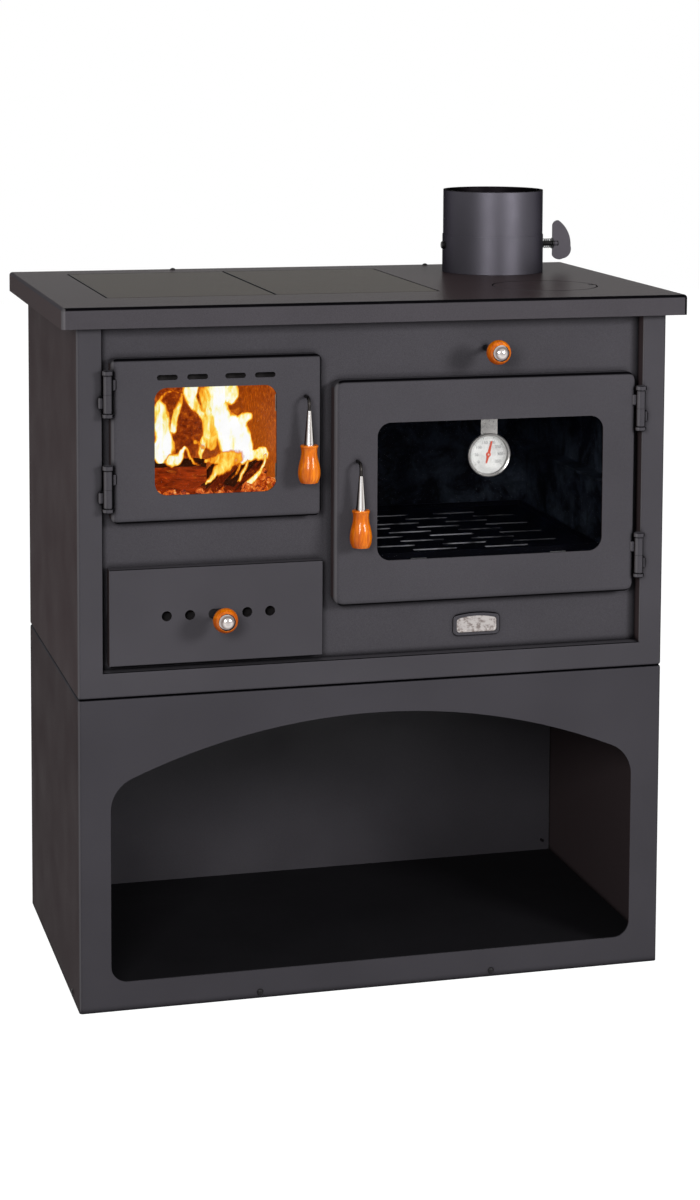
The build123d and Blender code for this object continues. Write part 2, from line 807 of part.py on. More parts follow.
def cleaning_lid():
    """The round lid, with a notch at its right edge for the lifting hook."""
    lid = bar_z(lid_x, lid_y, lid_radius, stove_height - casting, stove_height)
    lid = chamfer(lid.faces().sort_by(Axis.Z)[-1].edges(), casting_bevel)
    edge = lid_x + lid_radius
    lid -= block((edge - lift_notch_depth, edge + 1),
                 (lid_y - lift_notch_width / 2, lid_y + lift_notch_width / 2),
                 (stove_height - casting / 2, stove_height + 1))
    return lid


# ---- flue spigot and damper ----------------------------------------------------------------
def flue_collar():
    """The spigot, a little wider below its middle, with a flange under the top sheet."""
    low = under_top - top_sheet - seam
    top = stove_height + flue_height
    collar = bar_z(flue_x, flue_y, flue_radius, low, top)
    collar += bar_z(flue_x, flue_y, flue_radius + flue_step, low, stove_height + flue_step_height)
    collar += bar_z(flue_x, flue_y, flue_radius + flue_flange, low, under_top)
    collar -= bar_z(flue_x, flue_y, flue_radius - flue_wall, low - 1, top + 1)
    reach = flue_radius + flue_flange
    collar -= bar_x(flue_y, damper_z, spindle_radius + running_fit, flue_x - reach, flue_x + reach)
    return collar


def damper_disc():
    """The disc, upright when the damper is open, split by a folded seat for its spindle."""
    disc = bar_y(flue_x, damper_z, damper_radius, flue_y - damper_sheet / 2, flue_y + damper_sheet / 2)
    disc += bar_x(flue_y, damper_z, spindle_radius + damper_sheet,
                  flue_x - damper_seat_half, flue_x + damper_seat_half)
    return disc - damper_rod()


def damper_rod():
    wall = flue_radius + flue_step
    return bar_x(flue_y, damper_z, spindle_radius,
                 flue_x - wall - slip, flue_x + wall + key_start + spindle_in_key)


def damper_spindle():
    """The spindle, with its riveted head at the left and a washer for the spring at the right."""
    wall = flue_radius + flue_step
    head = bar_x(flue_y, damper_z, spindle_head_radius,
                 flue_x - wall - slip - spindle_head_length, flue_x - wall - slip)
    head = fillet(head.faces().sort_by(Axis.X)[0].edges(), spindle_head_round)
    washer_end = flue_x + wall + key_start
    washer = bar_x(flue_y, damper_z, washer_radius, washer_end - washer_sheet, washer_end)
    return damper_rod() + head + washer - key_blank() - key_rivet()


def key_outline():
    """The wing key: a straight inner edge, a round top and a full outer curve."""
    edges = [
        Line((0, -key_below + 5), (0, key_above - 7)),
        ThreePointArc((0, key_above - 7), (3.5, key_above - 1.2), (8.5, key_above)),
        ThreePointArc((8.5, key_above), (key_width - 3, key_above * 0.42), (key_width, -4)),
        ThreePointArc((key_width, -4), (key_width - 4, -key_below + 3), (key_width - 11, -key_below)),
        ThreePointArc((key_width - 11, -key_below), (3, -key_below + 1.2), (0, -key_below + 5)),
    ]
    return make_face(edges)


def key_blank():
    start = facing(flue_x + flue_radius + flue_step + key_start, flue_y - key_sheet / 2, damper_z)
    return extrude(start * key_outline(), amount=-key_sheet)


def key_rivet():
    """The rivet through the spindle's slotted end, with a round head on each side."""
    x = flue_x + flue_radius + flue_step + key_start + rivet_inset
    rivet = bar_y(x, damper_z, rivet_radius, flue_y - spindle_radius, flue_y + spindle_radius)
    for way in (-1, 1):
        outwards = Plane(origin=(x, flue_y + way * spindle_radius, damper_z), z_dir=(0, way, 0))
        rivet += outwards.location * domed(rivet_head_radius, 0, rivet_head_height)
    return rivet


def damper_key():
    """The wing key, held in the spindle's slotted end by its rivet."""
    return key_blank() + key_rivet()


def spring_point(turn):
    """A point on the spring's centre line, from its first end, and the wire's direction there."""
    angle = 2 * pi * turn
    pitch = (key_start - washer_sheet - 2 * slip - 2 * spring_wire_radius) / spring_turns
    point = Vector(pitch * turn, spring_radius * cos(angle), spring_radius * sin(angle))
    along = Vector(pitch, -2 * pi * spring_radius * sin(angle), 2 * pi * spring_radius * cos(angle))
    return point, along.normalized()


def biarc(start, start_way, end, end_way):
    """Two arcs that join two points, each leaving and arriving in the given direction."""
    chord = end - start
    ways = start_way + end_way
    a = 2 * (1 - start_way.dot(end_way))
    b = 2 * chord.dot(ways)
    c = -chord.dot(chord)
    reach = (-b + sqrt(b * b - 4 * a * c)) / (2 * a)
    joint = (start + start_way * reach + end - end_way * reach) / 2
    first = TangentArc(start, joint, tangent=start_way)
    return [first, TangentArc(joint, end, tangent=first % 1)]


def damper_spring():
    """The compression spring between the spigot's wall and the washer, as one wound wire."""
    arcs = []
    steps = 4 * spring_turns
    for step in range(steps):
        start, start_way = spring_point(step / 4)
        end, end_way = spring_point((step + 1) / 4)
        arcs += biarc(start, start_way, end, end_way)
    path = Wire(arcs)
    pitch = spring_point(1)[0].X - spring_point(0)[0].X
    print("spring: least gap between turns", round(pitch - 2 * spring_wire_radius, 2), "mm")
    section = Plane(origin=path @ 0, z_dir=path % 0) * RegularPolygon(spring_wire_radius, 6)
    first_end = flue_x + flue_radius + flue_step + slip + spring_wire_radius
    return Pos(first_end, flue_y, damper_z) * sweep(section, path=path)


# ---- hinges --------------------------------------------------------------------------------
def hinge_heights(door):
    """The middle heights of a door's two hinges, where sleeve and pintle meet."""
    if door is fire_door:
        return (door.top - fire_hinge_from_top, door.bottom + fire_hinge_from_bottom)
    return (door.top - oven_hinge_from_top, door.bottom + oven_hinge_from_bottom)


def hinge_half(x, middle, way):
    """One half of a hinge's barrel, up or down from its middle, with a cap and a ring groove."""
    end = middle + way * barrel_half
    cap_start = end - way * hinge_cap_height
    neck_start = cap_start - way * hinge_neck_height
    barrel = bar_z(x, hinge_y, barrel_radius, *sorted((middle + way * slip / 2, neck_start)))
    barrel += bar_z(x, hinge_y, barrel_radius - hinge_neck_depth, *sorted((neck_start, cap_start)))
    cap = bar_z(x, hinge_y, hinge_cap_radius, *sorted((cap_start, end)))
    outer_face = cap.faces().sort_by(Axis.Z)[-1 if way > 0 else 0]
    return barrel + fillet(outer_face.edges(), hinge_cap_bevel if way > 0 else hinge_foot_bevel)


def weld_bead(x, y, barrel_x, middle, way):
    """A rounded weld bead that fills the corner beside a barrel."""
    ends = sorted((middle + way * (barrel_half - bead_from_end),
                   middle + way * (barrel_half - bead_from_end - bead_length)))
    bead = bar_z(x, y, bead_radius, *ends)
    bead = fillet(bead.edges().filter_by(GeomType.CIRCLE), bead_radius * 0.7)
    return bead - bar_z(barrel_x, hinge_y, barrel_radius - seam, *ends)


def hinge_pintle(side, middle):
    """The lower half of a hinge, welded to the stile, with its pin."""
    x = side * hinge_x
    pin_foot = middle - barrel_half + hinge_cap_height
    barrel = hinge_half(x, middle, -1)
    barrel += bar_z(x, hinge_y, hinge_pin_radius, pin_foot, middle + hinge_pin_length)
    bead = weld_bead(side * (stile_inner + bead_on_stile), hinge_y / 3, x, middle, -1)
    return barrel + (bead - stile_solid(side))


def stile_solid(side):
    """The stile and the space behind it, which a weld bead lies against."""
    edges = sorted((side * stile_inner, side * body_half))
    return block(edges, (0, panel_recess), (plinth_height, stove_height))


def hinge_pintles():
    pairs = [(-1, z) for z in hinge_heights(fire_door)] + [(1, z) for z in hinge_heights(oven_door)]
    return Compound(children=[hinge_pintle(side, z) for side, z in pairs])


def hinge_sleeve(side, middle, door_solid):
    """The upper half of a hinge, bored for the pin and welded to the door's pressed edge."""
    x = side * hinge_x
    sleeve = hinge_half(x, middle, 1)
    sleeve -= bar_z(x, hinge_y, hinge_pin_radius + running_fit, middle - 1, middle + hinge_pin_length + 1)
    inwards = door_edge_radius * (1 - sqrt(0.5))
    bead = weld_bead(side * (hinge_x - door_edge_gap - inwards), door_face + inwards, x, middle, 1)
    return sleeve + (bead - door_solid)


# ---- doors ---------------------------------------------------------------------------------
def door_blank(door, corner):
    """The solid that the pressed shell is hollowed from, which also trims the weld beads."""
    return round_front_edges(upright(door, door_face, door_rim, corner), door_edge_radius)


def door_shell(door, corner, window, window_corner):
    inner = upright(grown(door, -door_sheet), door_face + door_sheet, door_rim + 1, corner - door_sheet)
    inner = round_front_edges(inner, door_edge_radius - door_sheet)
    shell = door_blank(door, corner) - inner
    return shell - upright(window, door_face - 1, door_rim, window_corner)


def with_bush(shell, handle):
    """Adds the bush that a handle's rod turns in, and bores it."""
    x, z = handle
    shell += bar_y(x, z, bush_radius, door_face + door_sheet, door_face + door_sheet + bush_length)
    return shell - bar_y(x, z, rod_radius + running_fit, door_face - 1, door_rim + 1)


def fire_door_shell():
    """The pressed firebox door, with its window and the four air slots over it."""
    shell = door_shell(fire_door, fire_door_corner, fire_window, fire_window_corner)
    width = fire_window.right - fire_window.left
    for share in air_slot_places:
        place = facing(fire_window.left + width * share, door_face - 1,
                       fire_window.top + air_slot_above_window)
        shell -= extrude(place * SlotOverall(air_slot_length, air_slot_height), amount=-(door_sheet + 2))
    return with_bush(shell, fire_handle)


def oven_door_shell():
    shell = door_shell(oven_door, oven_door_corner, oven_window, oven_window_corner)
    return with_bush(shell, oven_handle)


def gasket_frame(mouth):
    """The frame welded inside a door round its glass, grooved at the back for the rope."""
    outer = grown(mouth, gasket_frame_width)
    frame = upright(outer, door_face + door_sheet, door_rim, gasket_frame_width)
    frame -= upright(mouth, door_face, door_rim + 1)
    return frame - rope_ring(mouth, door_rim - rope_groove, door_rim + 1)


def air_deflector():
    """The sheet behind the firebox door's air slots, which turns their air down over the glass."""
    low = fire_window.top + glass_lap + 1
    area = Area(fire_mouth.left - 1, fire_mouth.right + 1, low, fire_mouth.top + 1)
    front = glass_back + deflector_gap
    return upright(area, front, front + deflector_sheet)


def rope_ring(mouth, front, back):
    margin = (gasket_frame_width - rope_width) / 2
    outer = grown(mouth, gasket_frame_width - margin)
    return upright(outer, front, back, gasket_frame_width - margin) - upright(
        grown(mouth, margin), front - 1, back + 1, margin)


def door_gasket(mouth):
    """The rope gasket in its groove, which reaches almost to the front panel."""
    return rope_ring(mouth, door_rim - rope_groove, panel_recess - slip)


def door_glass(window):
    return upright(grown(window, glass_lap), glass_front, glass_back, glass_lap)


def glass_clip():
    """A clip with its screw. Its local Y points away from the glass, its Z into the stove."""
    half = clip_width / 2
    shell_back = door_face + door_sheet
    low = glass_back - shell_back
    high = low + clip_sheet
    reach = (seam, seam + clip_reach)
    clip = block((-half, half), reach, (0, high))
    clip += block((-half, half), (-glass_lap, seam + clip_reach), (low, high))
    screw = Pos(0, seam + clip_reach / 2, high) * RegularPolygon(clip_screw_radius, 6)
    return clip + extrude(screw, amount=clip_screw_height)


def glass_clips(window, sideways):
    """Two clips on each of two opposite edges of the glass."""
    pane = grown(window, glass_lap)
    width = pane.right - pane.left
    height = pane.top - pane.bottom
    clips = []
    for share in (0.2, 0.8):
        for way in (-1, 1):
            if sideways:
                place = (pane.right if way > 0 else pane.left, pane.bottom + height * share)
                x_dir = (0, 0, way)
            else:
                place = (pane.left + width * share, pane.top if way > 0 else pane.bottom)
                x_dir = (-way, 0, 0)
            seat = Plane(origin=(place[0], door_face + door_sheet, place[1]),
                         x_dir=x_dir, z_dir=(0, 1, 0))
            clips.append(seat.location * glass_clip())
    return Compound(children=clips)


# ---- door handles --------------------------------------------------------------------------
def handle_rod(handle, side):
    """The bent rod: from the latch cam out through the door, then down into the ferrule."""
    x, z = handle
    grip_y = door_face - grip_stand
    cam_front = panel_back + cam_behind_panel
    low = z - ferrule_drop - ferrule_length
    path = FilletPolyline((x, cam_front, z), (x, grip_y, z), (x, grip_y, low), radius=rod_bend_radius)
    rod = sweep(Plane(origin=path @ 0, z_dir=path % 0) * Circle(rod_radius), path=path)
    nose = Pos(side * cam_nose_length / 2, 0) * Rectangle(cam_nose_length, cam_nose_width)
    cam = Circle(cam_hub_radius) + nose
    return rod + extrude(facing(x, cam_front, z) * cam, amount=-cam_sheet)


def handle_ferrule(handle):
    """The polished cone over the rod's end."""
    x, z = handle
    outline = Polyline(
        (rod_radius, 0),
        (ferrule_tip_radius, 0),
        (ferrule_base_radius, -ferrule_length + ferrule_rim),
        (ferrule_base_radius, -ferrule_length),
        (rod_radius, -ferrule_length),
        close=True,
    )
    return Pos(x, door_face - grip_stand, z - ferrule_drop) * turned(outline)


def handle_grip(handle):
    """The turned wooden grip: a beaded top, a waist and a full bulb."""
    x, z = handle
    bottom = -grip_length
    bead_foot = grip_bead_radius - 0.4
    bead_top = grip_bead_radius - 0.9
    outline = [
        Line((0, bottom), (grip_foot_radius, bottom)),
        Spline((grip_foot_radius, bottom), (grip_bulge_radius, bottom * 0.75),
               (grip_waist_radius, bottom * 0.5), (grip_neck_radius, bottom * 0.27),
               (bead_foot, -grip_bead_height)),
        ThreePointArc((bead_foot, -grip_bead_height), (grip_bead_radius, -grip_bead_height * 0.4),
                      (bead_top, 0)),
        Line((bead_top, 0), (0, 0)),
        Line((0, 0), (0, bottom)),
    ]
    return Pos(x, door_face - grip_stand, z - ferrule_drop - ferrule_length) * turned(outline)


# ---- knobs ---------------------------------------------------------------------------------
def knob_grip(x, tip, z):
    """A wooden knob on its stem, with a flat at the front for the cap that ends at the tip."""
    front = -knob_cap_height
    back = front - knob_length
    widest = back + knob_length * knob_widest
    flat = knob_cap_radius + knob_flat_margin
    outline = [
        Line((stem_radius, back), (knob_neck_radius, back)),
        TangentArc((knob_radius, widest), (knob_neck_radius, back), tangent=(0, -1)),
        TangentArc((knob_radius, widest), (flat, front), tangent=(0, 1)),
        Line((flat, front), (stem_radius, front)),
        Line((stem_radius, front), (stem_radius, back)),
    ]
    return facing(x, tip, z).location * turned(outline)


def knob_cap(x, tip, z):
    """The domed metal cap on the end of the stem."""
    back = facing(x, tip + knob_cap_height, z)
    return back.location * domed(knob_cap_radius, knob_cap_rim, knob_cap_height)


# ---- ash drawer and air register -----------------------------------------------------------
def air_holes(front, back):
    """The round air holes on both sides of the knob's stem."""
    holes = [bar_y(knob_x + place, knob_z, air_hole_radius, front, back) for place in air_hole_places]
    return Compound(children=holes)


def drawer_front():
    """The drawer's front: a box lid of sheet, with the air holes, the knob's slot and two guides."""
    rim = panel_recess - drawer_rim_gap
    front = upright(drawer, 0, rim)
    front = round_front_edges(front, drawer_edge_radius)
    front -= upright(grown(drawer, -sheet), sheet, rim + 1)
    front -= air_holes(-1, sheet + 1)
    slot = SlotOverall(register_travel_left + register_travel_right + 2 * (stem_radius + slip),
                       2 * air_hole_radius)
    slot_x = knob_x + (register_travel_right - register_travel_left) / 2
    front -= extrude(facing(slot_x, -1, knob_z) * slot, amount=-(sheet + 2))
    span = (knob_x - register_width / 2 - register_travel_left,
            knob_x + register_width / 2 + register_travel_right)
    behind = 2 * sheet + 2 * slip
    for way in (-1, 1):
        edge = knob_z + way * (register_height / 2 + slip)
        wall = sorted((edge, edge + way * guide_sheet))
        lip = sorted((edge - way * guide_lip, edge + way * guide_sheet))
        front += block(span, (sheet, behind + guide_sheet), wall)
        front += block(span, (behind, behind + guide_sheet), lip)
    return front


def ash_pan():
    """The pan welded behind the drawer's front. Its front wall is low, to let the air in."""
    rim = panel_recess - drawer_rim_gap
    outer = block((pan.left, pan.right), (rim, rim + pan_depth), (pan.bottom, pan.top))
    outer = fillet(outer.edges().filter_by(Axis.Y).sort_by(Axis.Z)[:2], pan_corner)
    inside = (pan.left + pan_sheet, pan.right - pan_sheet)
    outer -= block(inside, (rim + pan_sheet, rim + pan_depth - pan_sheet),
                   (pan.bottom + pan_sheet, pan.top + 1))
    outer -= block(inside, (rim - 1, rim + pan_sheet + 1), (pan.top - pan_air_height, pan.top + 1))
    cross = drawer.left + sheet, drawer.right - sheet
    web = block(cross, (rim - pan_sheet, rim), (pan.bottom, pan.top - pan_air_height))
    return outer + web


def air_register():
    """The slide behind the drawer's front: a plate with the same holes, on the knob's stem."""
    area = Area(knob_x - register_width / 2, knob_x + register_width / 2,
                knob_z - register_height / 2, knob_z + register_height / 2)
    plate = upright(area, sheet + slip, 2 * sheet + slip) - air_holes(0, 3 * sheet)
    return plate + bar_y(knob_x, knob_z, stem_radius, knob_tip + knob_cap_height, 2 * sheet + slip)


# ---- firebox -------------------------------------------------------------------------------
def firebox_shell():
    """Side walls and back wall, with the hearth plate between the fire and the ash drawer."""
    inside = (firebox_left + firebox_sheet, firebox_right - firebox_sheet)
    depth = (panel_back + seam, firebox_back)
    top = stove_height - 2 * casting - top_sheet
    shell = block((firebox_left, firebox_right), depth, (cabinet_floor + seam, top))
    shell -= block(inside, (depth[0] - 1, firebox_back - firebox_sheet), (0, top + 1))
    shell += block(inside, (depth[0], firebox_back - firebox_sheet),
                   (hearth_top - firebox_sheet, hearth_top))
    passage = (depth[0] + flange_width, firebox_back - flange_width)
    shell -= block((inside[1] - 1, firebox_right + 1), passage, (baffle_top, top + 1))
    return shell - grate_seat()


def firebox_middle():
    return (firebox_left + firebox_right) / 2, (brick_front + firebox_back - firebox_sheet - brick) / 2


def grate_seat():
    x, y = firebox_middle()
    half_x = grate_width / 2 - grate_lap
    half_y = grate_depth / 2 - grate_lap
    return block((x - half_x, x + half_x), (y - half_y, y + half_y),
                 (hearth_top - firebox_sheet - 1, hearth_top + 1))


def fire_grate():
    """The cast grate on the hearth plate, slotted from front to back."""
    x, y = firebox_middle()
    grate = block((x - grate_width / 2, x + grate_width / 2), (y - grate_depth / 2, y + grate_depth / 2),
                  (hearth_top, hearth_top + grate_thickness))
    pitch = (grate_width - 2 * grate_rim + grate_bar) / grate_slots
    for slot in range(grate_slots):
        left = x - grate_width / 2 + grate_rim + pitch * slot
        grate -= block((left, left + pitch - grate_bar),
                       (y - grate_depth / 2 + grate_rim, y + grate_depth / 2 - grate_rim),
                       (hearth_top - 1, hearth_top + grate_thickness + 1))
    return grate


def firebricks_side():
    """The left and right firebricks, standing on the hearth plate."""
    low = hearth_top
    high = hearth_top + brick_height
    depth = (brick_front, firebox_back - firebox_sheet - brick - 2 * seam)
    left = firebox_left + firebox_sheet + seam
    right = firebox_right - firebox_sheet - seam
    bricks = []
    for edges in ((left, left + brick), (right - brick, right)):
        brick_solid = block(edges, depth, (low, high))
        bricks.append(chamfer(brick_solid.edges().filter_by(Axis.Z), brick_bevel))
    return Compound(children=bricks)


def firebrick_back():
    left = firebox_left + firebox_sheet + seam
    right = firebox_right - firebox_sheet - seam
    back = firebox_back - firebox_sheet - seam
    solid = block((left, right), (back - brick, back), (hearth_top, hearth_top + brick_height))
    return chamfer(solid.edges().filter_by(Axis.Z), brick_bevel)


def log_guard():
    """A low plate inside the firebox mouth that keeps the logs in."""
    left = firebox_left + firebox_sheet + brick + 3 * seam
    right = firebox_right - firebox_sheet - brick - 3 * seam
    area = Area(left, right, hearth_top, hearth_top + guard_height)
    guard = upright(area, brick_front, brick_front + guard_sheet)
    x = firebox_middle()[0]
    for step in (-1, 0, 1):
        place = facing(x + step * guard_slot_pitch, brick_front - 1, hearth_top + guard_height / 2)
        slot = place * SlotOverall(guard_slot_length, guard_slot_height)
        guard -= extrude(slot, amount=-(guard_sheet + 2))
    return guard


# ---- oven ----------------------------------------------------------------------------------
def oven_box():
    """The oven: a sheet box that opens at the front panel."""
    outer = upright(grown(oven_inside, sheet), panel_back + seam, oven_back)
    return outer - upright(oven_inside, panel_back, oven_back - sheet)


def shelf_edges():
    return oven_mouth.left + shelf_side_margin, oven_mouth.right - shelf_side_margin


def shelf_rails():
    """Two pairs of ledges on the oven's side walls."""
    left, right = shelf_edges()
    rails = []
    top = oven_inside.bottom + shelf_height
    depth = (shelf_front - rail_past_shelf, oven_back - 3 * sheet)
    for high in (top, top + rail_gap):
        for edges in ((oven_inside.left, left + rail_lap), (right - rail_lap, oven_inside.right)):
            rails.append(block(edges, depth, (high - rail_height, high)))
    return Compound(children=rails)


def oven_shelf():
    """The pressed shelf, with a raised rim and staggered long slots."""
    left, right = shelf_edges()
    low = oven_inside.bottom + shelf_height + slip
    area = Area(left, right, shelf_front, shelf_front + shelf_length)
    shelf = lying(area, low, low + shelf_rim, shelf_corner)
    shelf -= lying(grown(area, -shelf_sheet), low + shelf_sheet, low + shelf_rim + 1,
                   shelf_corner - shelf_sheet)
    middle_x = (left + right) / 2
    middle_y = shelf_front + shelf_length / 2
    slots = []
    for row in range(-4, 5):
        shift = 0.0 if row % 2 else 0.5
        for column in range(-2, 3):
            x = middle_x + (column + shift) * shelf_slot_pitch_x
            y = middle_y + row * shelf_slot_pitch_y
            if left + shelf_slot_margin < x - shelf_slot_length / 2 and \
                    x + shelf_slot_length / 2 < right - shelf_slot_margin:
                slots.append(block((x - shelf_slot_length / 2, x + shelf_slot_length / 2),
                                   (y - shelf_slot_width / 2, y + shelf_slot_width / 2),
                                   (low - 1, low + shelf_sheet + 1)))
    return shelf - slots


# ---- thermometer ---------------------------------------------------------------------------
def thermometer_case():
    """The round case with its bezel, and the strip that hangs it from the door."""
    inner = dial_radius - dial_rim
    outer = inner + case_wall
    floor = -dial_depth + dial_floor
    outline = Polyline(
        (0, -dial_depth),
        (outer - case_bevel, -dial_depth),
        (outer, -dial_depth + case_bevel),
        (outer, -dial_rim),
        (dial_radius, -dial_rim),
        (dial_radius, -bezel_bevel),
        (dial_radius - bezel_bevel, 0),
        (inner, -bezel_bevel),
        (inner, floor),
        (0, floor),
        close=True,
    )
    place = facing(dial_x, dial_front, dial_z).location
    top = oven_window.top + glass_lap + 2 * strip_foot
    strip_front = dial_front + dial_rim + slip
    strip_back = strip_front + strip_sheet
    strip = Area(dial_x - strip_width / 2, dial_x + strip_width / 2, dial_z, top)
    hanger = upright(strip, strip_front, strip_back)
    hanger -= bar_y(dial_x, dial_z, (inner + outer) / 2, strip_front - 1, strip_back + 1)
    foot = Area(strip.left, strip.right, top - strip_foot, top)
    hanger += upright(foot, door_face + door_sheet, strip_back)
    return place * turned(outline) + hanger


def thermometer_dial():
    """The dial's disc on the case's floor, with the arbor that carries the pointer."""
    floor = dial_front + dial_depth - dial_floor
    dial = bar_y(dial_x, dial_z, dial_radius - dial_rim - slip, floor - dial_sheet, floor)
    tip = floor - dial_sheet - 2 * slip - 2 * pointer_sheet
    return dial + bar_y(dial_x, dial_z, arbor_radius, tip, floor)


def thermometer_lens():
    front = dial_front + lens_depth
    return bar_y(dial_x, dial_z, dial_radius - dial_rim, front, front + lens_thickness)


def thermometer_pointer():
    """The pointer on its arbor: a hub, a tapered arm and a short tail."""
    face = dial_front + dial_depth - dial_floor - dial_sheet - slip
    half = [(pointer_tip, pointer_length), (pointer_root, 0), (pointer_tail_tip, -pointer_tail)]
    mirrored = [(-x, y) for x, y in reversed(half)]
    blank = make_face(Polyline(*half, *mirrored, close=True)) + Circle(pointer_hub_radius)
    blank -= Circle(arbor_radius + running_fit)
    tilt = facing(dial_x, face, dial_z).location * Rot(0, 0, -pointer_tilt)
    return extrude(tilt * blank, amount=pointer_sheet)


# ---- direct-draught control ----------------------------------------------------------------
def draught_opening():
    """The opening in the baffle under the spigot, as an area seen from above."""
    left = flue_x - draught_opening_width / 2
    front = flue_y - draught_opening_depth / 2
    return Area(left, left + draught_opening_width, front, front + draught_opening_depth)


def smoke_baffle():
    """The sheet over the oven, open under the spigot for the direct draught."""
    left = firebox_right + 2 * seam
    right = body_half - sheet - 2 * seam
    area = Area(left, right, panel_back + seam, body_depth - sheet - 2 * seam)
    baffle = lying(area, baffle_top - baffle_sheet, baffle_top)
    return baffle - lying(draught_opening(), baffle_top - baffle_sheet - 1, baffle_top + 1)


def draught_rod():
    """The rod through the front panel, under the front edge of its slide plate."""
    back = draught_opening().top + draught_rod_end
    return bar_y(draught_x, draught_z, stem_radius, draught_tip + knob_cap_height, back)


def draught_plate():
    """The slide that covers the baffle's opening, welded under the rod."""
    area = grown(draught_opening(), draught_plate_lap)
    area = Area(draught_x - draught_plate_left, area.right, area.bottom, area.top)
    low = baffle_top + slip
    return lying(area, low, low + draught_plate_sheet)


# ---- files ---------------------------------------------------------------------------------
def save(name, shape):
    """Writes one piece, moved so that the origin is under the middle of the stove."""
    export_step(Pos(0, front_plane, 0) * shape, f"parts/{name}.step")


def sleeves(side, door, corner):
    """The hinge sleeves of one door."""
    blank = door_blank(door, corner)
    return Compound(children=[hinge_sleeve(side, z, blank) for z in hinge_heights(door)])


os.makedirs("parts", exist_ok=True)

save("plinth_shell", plinth_shell())
save("plinth_floor", plinth_floor())
save("plinth_back_panel", plinth_back())
save("panel_screws", panel_screws())
save("casing_shell", casing_shell())
save("casing_base", casing_base())
save("casing_back_panel", casing_back())
save("front_panel", front_panel())
save("badge_plate", badge_plate())
save("top_plate", top_plate())
save("cooktop_plate_left", cooktop_plate(-1))
save("cooktop_plate_right", cooktop_plate(1))
save("cleaning_lid", cleaning_lid())
save("flue_collar", flue_collar())
save("damper_disc", damper_disc())
save("damper_spindle", damper_spindle())
save("damper_key", damper_key())
save("damper_spring", damper_spring())
save("hinge_pintles", hinge_pintles())
save("firebox_shell", firebox_shell())
save("fire_grate", fire_grate())
save("firebricks_side", firebricks_side())
save("firebrick_back", firebrick_back())
save("log_guard", log_guard())
save("oven_box", oven_box())
save("oven_shelf_rails", shelf_rails())
save("oven_shelf", oven_shelf())
save("smoke_baffle", smoke_baffle())

save("firebox_door_shell", fire_door_shell())
save("firebox_door_hinge_sleeves", sleeves(-1, fire_door, fire_door_corner))
save("oven_door_shell", oven_door_shell())
save("oven_door_hinge_sleeves", sleeves(1, oven_door, oven_door_corner))
for name, window, mouth, sideways, frame in (
    ("firebox_door", fire_window, fire_mouth, True, gasket_frame(fire_mouth) + air_deflector()),
    ("oven_door", oven_window, oven_mouth, False, gasket_frame(oven_mouth)),
):
    save(name + "_glass", door_glass(window))
    save(name + "_glass_clips", glass_clips(window, sideways))
    save(name + "_gasket_frame", frame)
    save(name + "_gasket", door_gasket(mouth))
for name, handle, side in (("firebox_handle", fire_handle, 1), ("oven_handle", oven_handle, -1)):
    save(name + "_rod", handle_rod(handle, side))
    save(name + "_ferrule", handle_ferrule(handle))
    save(name + "_grip", handle_grip(handle))

save("thermometer_case", thermometer_case())
save("thermometer_dial", thermometer_dial())
save("thermometer_lens", thermometer_lens())
save("thermometer_pointer", thermometer_pointer())
save("ash_drawer_front", drawer_front())
save("ash_pan", ash_pan())
save("air_register", air_register())
save("air_knob", knob_grip(knob_x, knob_tip, knob_z))
save("air_knob_cap", knob_cap(knob_x, knob_tip, knob_z))
save("draught_rod", draught_rod())
save("draught_plate", draught_plate())
save("draught_knob", knob_grip(draught_x, draught_tip, draught_z))
save("draught_knob_cap", knob_cap(draught_x, draught_tip, draught_z))
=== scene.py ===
"""The looks of a wood cookstove: its finishes, its fire, and the light and camera of its picture.

Metres, with X to the right across the front, Y from the front to the back and Z up from the floor.
The frame holds the stove's pieces. This script gives them their materials, and adds the flames,
the logs, the embers and the print on the thermometer's dial.
"""
import math
import random

import bmesh
import bpy
from mathutils import Matrix, Vector, noise


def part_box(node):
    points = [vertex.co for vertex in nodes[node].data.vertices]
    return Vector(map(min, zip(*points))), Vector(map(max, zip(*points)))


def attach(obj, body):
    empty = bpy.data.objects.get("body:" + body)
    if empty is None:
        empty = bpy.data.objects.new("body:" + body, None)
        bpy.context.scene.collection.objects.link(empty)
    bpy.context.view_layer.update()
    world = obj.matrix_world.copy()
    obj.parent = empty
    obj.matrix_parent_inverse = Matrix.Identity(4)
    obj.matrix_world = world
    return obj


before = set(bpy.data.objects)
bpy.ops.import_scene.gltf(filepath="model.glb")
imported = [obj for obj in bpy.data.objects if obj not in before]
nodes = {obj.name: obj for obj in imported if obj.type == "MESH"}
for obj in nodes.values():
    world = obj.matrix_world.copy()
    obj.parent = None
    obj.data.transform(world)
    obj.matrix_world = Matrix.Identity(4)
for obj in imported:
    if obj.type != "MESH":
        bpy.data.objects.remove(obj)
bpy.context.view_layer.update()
scene = bpy.context.scene
scene.view_settings.view_transform = "Standard"

FRONT = -0.200                    # the cabinet's front plane
PAINTED_SHADE_BLACK = (0.001, 0.001, 0.0015)    # painted shade of crevices, and of edges that are turned from the light


# ---- node graphs ----
def grey(value):
    return (value, value, value)


def scaled(color, factor):
    return tuple(part * factor for part in color)


